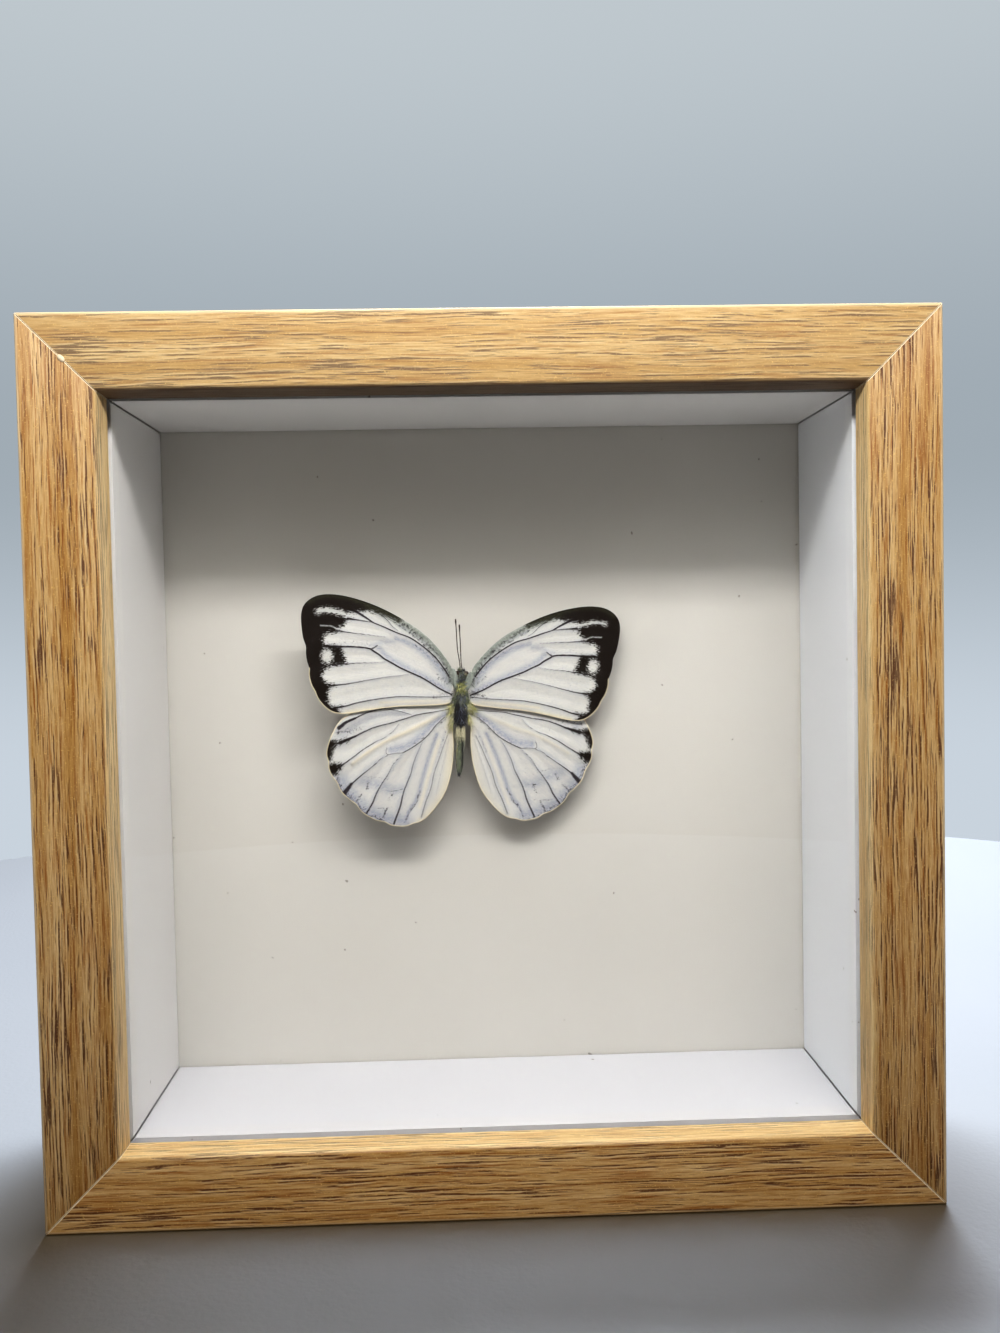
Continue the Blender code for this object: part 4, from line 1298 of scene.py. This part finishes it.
# %% Tufts
# Each tuft: hairs, middle (side, depth, height), spread, combing direction, scatter, length,
# half width, darkest and lightest shade.
TUFTS = [
    (170, (0.0, -1.45, 2.2), (0.62, 0.35, 0.95), (0.0, -0.5, -0.7), 0.60, 0.95, 0.080, 0.58, 0.96),
    (90, (0.0, -1.05, 3.4), (0.62, 0.3, 0.45), (0.0, -0.7, 0.2), 0.60, 0.70, 0.062, 0.02, 0.36),
    (40, (0.0, -1.35, 3.1), (0.55, 0.3, 0.5), (0.0, -0.7, 0.0), 0.60, 0.70, 0.062, 0.60, 0.86),
    (50, (0.0, -1.4, 2.0), (0.7, 0.35, 1.0), (0.0, -0.5, -0.7), 0.60, 0.9, 0.070, 0.34, 0.45),
    (60, (0.1, -1.75, 0.7), (0.75, 0.3, 0.9), (0.1, -0.5, -0.9), 0.60, 1.15, 0.070, 0.00, 0.30),
    (80, (-1.0, -1.25, 0.3), (0.25, 0.3, 0.6), (-0.3, -0.4, -0.9), 0.45, 1.2, 0.075, 0.38, 0.60),
    (80, (1.0, -1.25, 0.2), (0.25, 0.3, 0.6), (0.35, -0.4, -0.9), 0.45, 1.2, 0.075, 0.40, 0.66),
    (330, (0.1, -1.75, -2.3), (0.80, 0.35, 1.7), (0.05, -0.45, -1.0), 0.50, 1.35, 0.070, 0.00, 0.08),
    (26, (0.1, -2.05, -2.3), (0.75, 0.25, 1.6), (0.4, -0.5, -0.9), 0.65, 1.4, 0.055, 0.18, 0.25),
    (70, (1.6, -1.2, -0.8), (0.28, 0.3, 0.7), (0.45, -0.35, -0.9), 0.35, 1.25, 0.072, 0.80, 1.00),
    (60, (-1.45, -1.15, -1.5), (0.28, 0.3, 0.8), (-0.6, -0.35, -0.8), 0.30, 1.5, 0.068, 0.80, 1.00),
    (60, (-1.4, -1.05, -4.0), (0.22, 0.3, 0.9), (-0.5, -0.3, -0.9), 0.25, 1.8, 0.068, 0.86, 1.00),
    (50, (1.6, -1.05, -3.4), (0.2, 0.3, 0.8), (0.5, -0.3, -0.9), 0.25, 1.5, 0.068, 0.80, 1.00),
    (70, (-0.25, -1.1, -5.1), (0.22, 0.25, 0.35), (0.06, -0.10, -1.0), 0.10, 2.5, 0.075, 0.95, 1.00),
    (70, (0.75, -1.1, -5.1), (0.22, 0.25, 0.35), (-0.12, -0.10, -1.0), 0.10, 2.4, 0.075, 0.94, 1.00),
    (90, (0.0, -0.9, 4.6), (0.55, 0.3, 0.9), (0.0, -0.6, 0.4), 0.55, 0.60, 0.058, 0.00, 0.10),
    (40, (0.0, -0.95, 4.4), (0.55, 0.3, 1.0), (0.0, -0.6, 0.4), 0.55, 0.60, 0.058, 0.20, 0.40),
    (8, (0.62, -1.0, 4.9), (0.15, 0.1, 0.15), (0.5, -0.4, 0.2), 0.40, 0.7, 0.055, 0.95, 1.00),
    (36, (-0.55, -0.5, 5.6), (0.18, 0.2, 0.18), (-0.2, -0.4, 1.0), 0.30, 0.75, 0.058, 0.36, 0.62),
    (24, (0.35, -0.5, 5.5), (0.14, 0.2, 0.14), (0.12, -0.4, 1.0), 0.30, 0.7, 0.058, 0.00, 0.10),
    (130, (0.25, -0.72, -10.4), (0.30, 0.12, 2.5), (0.0, -0.20, -1.0), 0.25, 0.6, 0.052, 0.45, 0.55),
    (20, (-0.28, -0.6, -9.6), (0.08, 0.1, 2.2), (-0.2, -0.20, -1.0), 0.25, 0.5, 0.052, 0.80, 1.00),
    (60, (0.72, -0.76, -10.0), (0.08, 0.1, 2.4), (0.0, -0.20, -1.0), 0.12, 0.8, 0.052, 0.00, 0.08),
    (28, (0.25, -0.4, -14.0), (0.2, 0.2, 0.3), (0.0, -0.30, -1.0), 0.30, 0.5, 0.058, 0.00, 0.10),
    (70, (-1.9, -0.3, -1.6), (0.35, 0.25, 0.9), (-1.0, -0.25, -0.45), 0.30, 1.7, 0.055, 0.75, 1.00),
    (70, (2.0, -0.2, -1.6), (0.35, 0.25, 0.9), (1.0, -0.10, -0.45), 0.30, 1.7, 0.055, 0.75, 1.00),
    (26, (-1.8, -0.9, 1.2), (0.3, 0.2, 0.7), (-1.0, -0.35, 0.1), 0.45, 1.3, 0.050, 0.00, 0.12),
    (26, (1.8, -0.9, 1.2), (0.3, 0.2, 0.7), (1.0, -0.35, 0.1), 0.45, 1.3, 0.050, 0.00, 0.12),
]


print(len(TUFTS), "tufts")


# %% Lay the fur
SPRAWL = 0.62
SPRAWL_LIMIT = 1.6
SPLAY = 0.35
CURL = 0.12


def lay_fur(name, tufts, seed):
    """Gives every hair a root, a way, a length, a width, a bend and a shade, then lays them all."""
    rng = np.random.default_rng(seed)
    roots, ways, lengths, widths, bends, tones = [], [], [], [], [], []
    for count, middle, sprawl, way, scatter, length, width, dark, light in tufts:
        at = np.clip(rng.normal(size=(count, 3)), -SPRAWL_LIMIT, SPRAWL_LIMIT) * np.array(sprawl) * SPRAWL
        roots.append(np.array(middle) + at)
        lean = np.array(way) / np.linalg.norm(way) + rng.normal(size=(count, 3)) * scatter
        lean[:, 0] += SPLAY * at[:, 0]
        ways.append(lean / np.linalg.norm(lean, axis=1, keepdims=True))
        lengths.append(length * rng.uniform(0.6, 1.2, count))
        widths.append(width * rng.uniform(0.7, 1.2, count))
        bends.append(rng.normal(size=(count, 3)) * CURL + np.array([0.0, 0.22, -0.12]))
        tones.append(rng.uniform(dark, light, count))
    roots, ways, bends = (np.concatenate(part) for part in (roots, ways, bends))
    lengths, widths, tones = (np.concatenate(part) for part in (lengths, widths, tones))
    total = len(tones)
    bm, made = strand_bundle(total)
    bm.verts.ensure_lookup_table()
    spare = bm.verts[total * HAIR_POINTS:]
    if spare:
        bmesh.ops.delete(bm, geom=spare, context="VERTS")
    unit = np.array([v.co[:] for v in bm.verts]).reshape(total, HAIR_POINTS, 3)
    aside = np.cross(ways, [0.3, 0.2, 0.93])
    aside /= np.linalg.norm(aside, axis=1, keepdims=True)
    across = np.cross(ways, aside)
    reach = unit[:, :, 2:] * lengths[:, None, None]
    girth = aside[:, None] * unit[:, :, :1] + across[:, None] * unit[:, :, 1:2]
    curve = bends[:, None] * unit[:, :, 2:] * reach
    laid = roots[:, None] + ways[:, None] * reach + curve + girth * widths[:, None, None]
    laid[:, :, 1] += BODY_DEPTH
    piece = make_piece(bm, name, [fur])
    piece.data.vertices.foreach_set("co", laid.ravel())
    piece.data.transform(IN_BOX)
    carry(piece.data, "tone", np.repeat(tones, HAIR_POINTS))
    print(name, total, "hairs")
    return piece


lay_fur("fur_tufts", TUFTS, 11)

# %% Update the scene
bpy.context.view_layer.update()
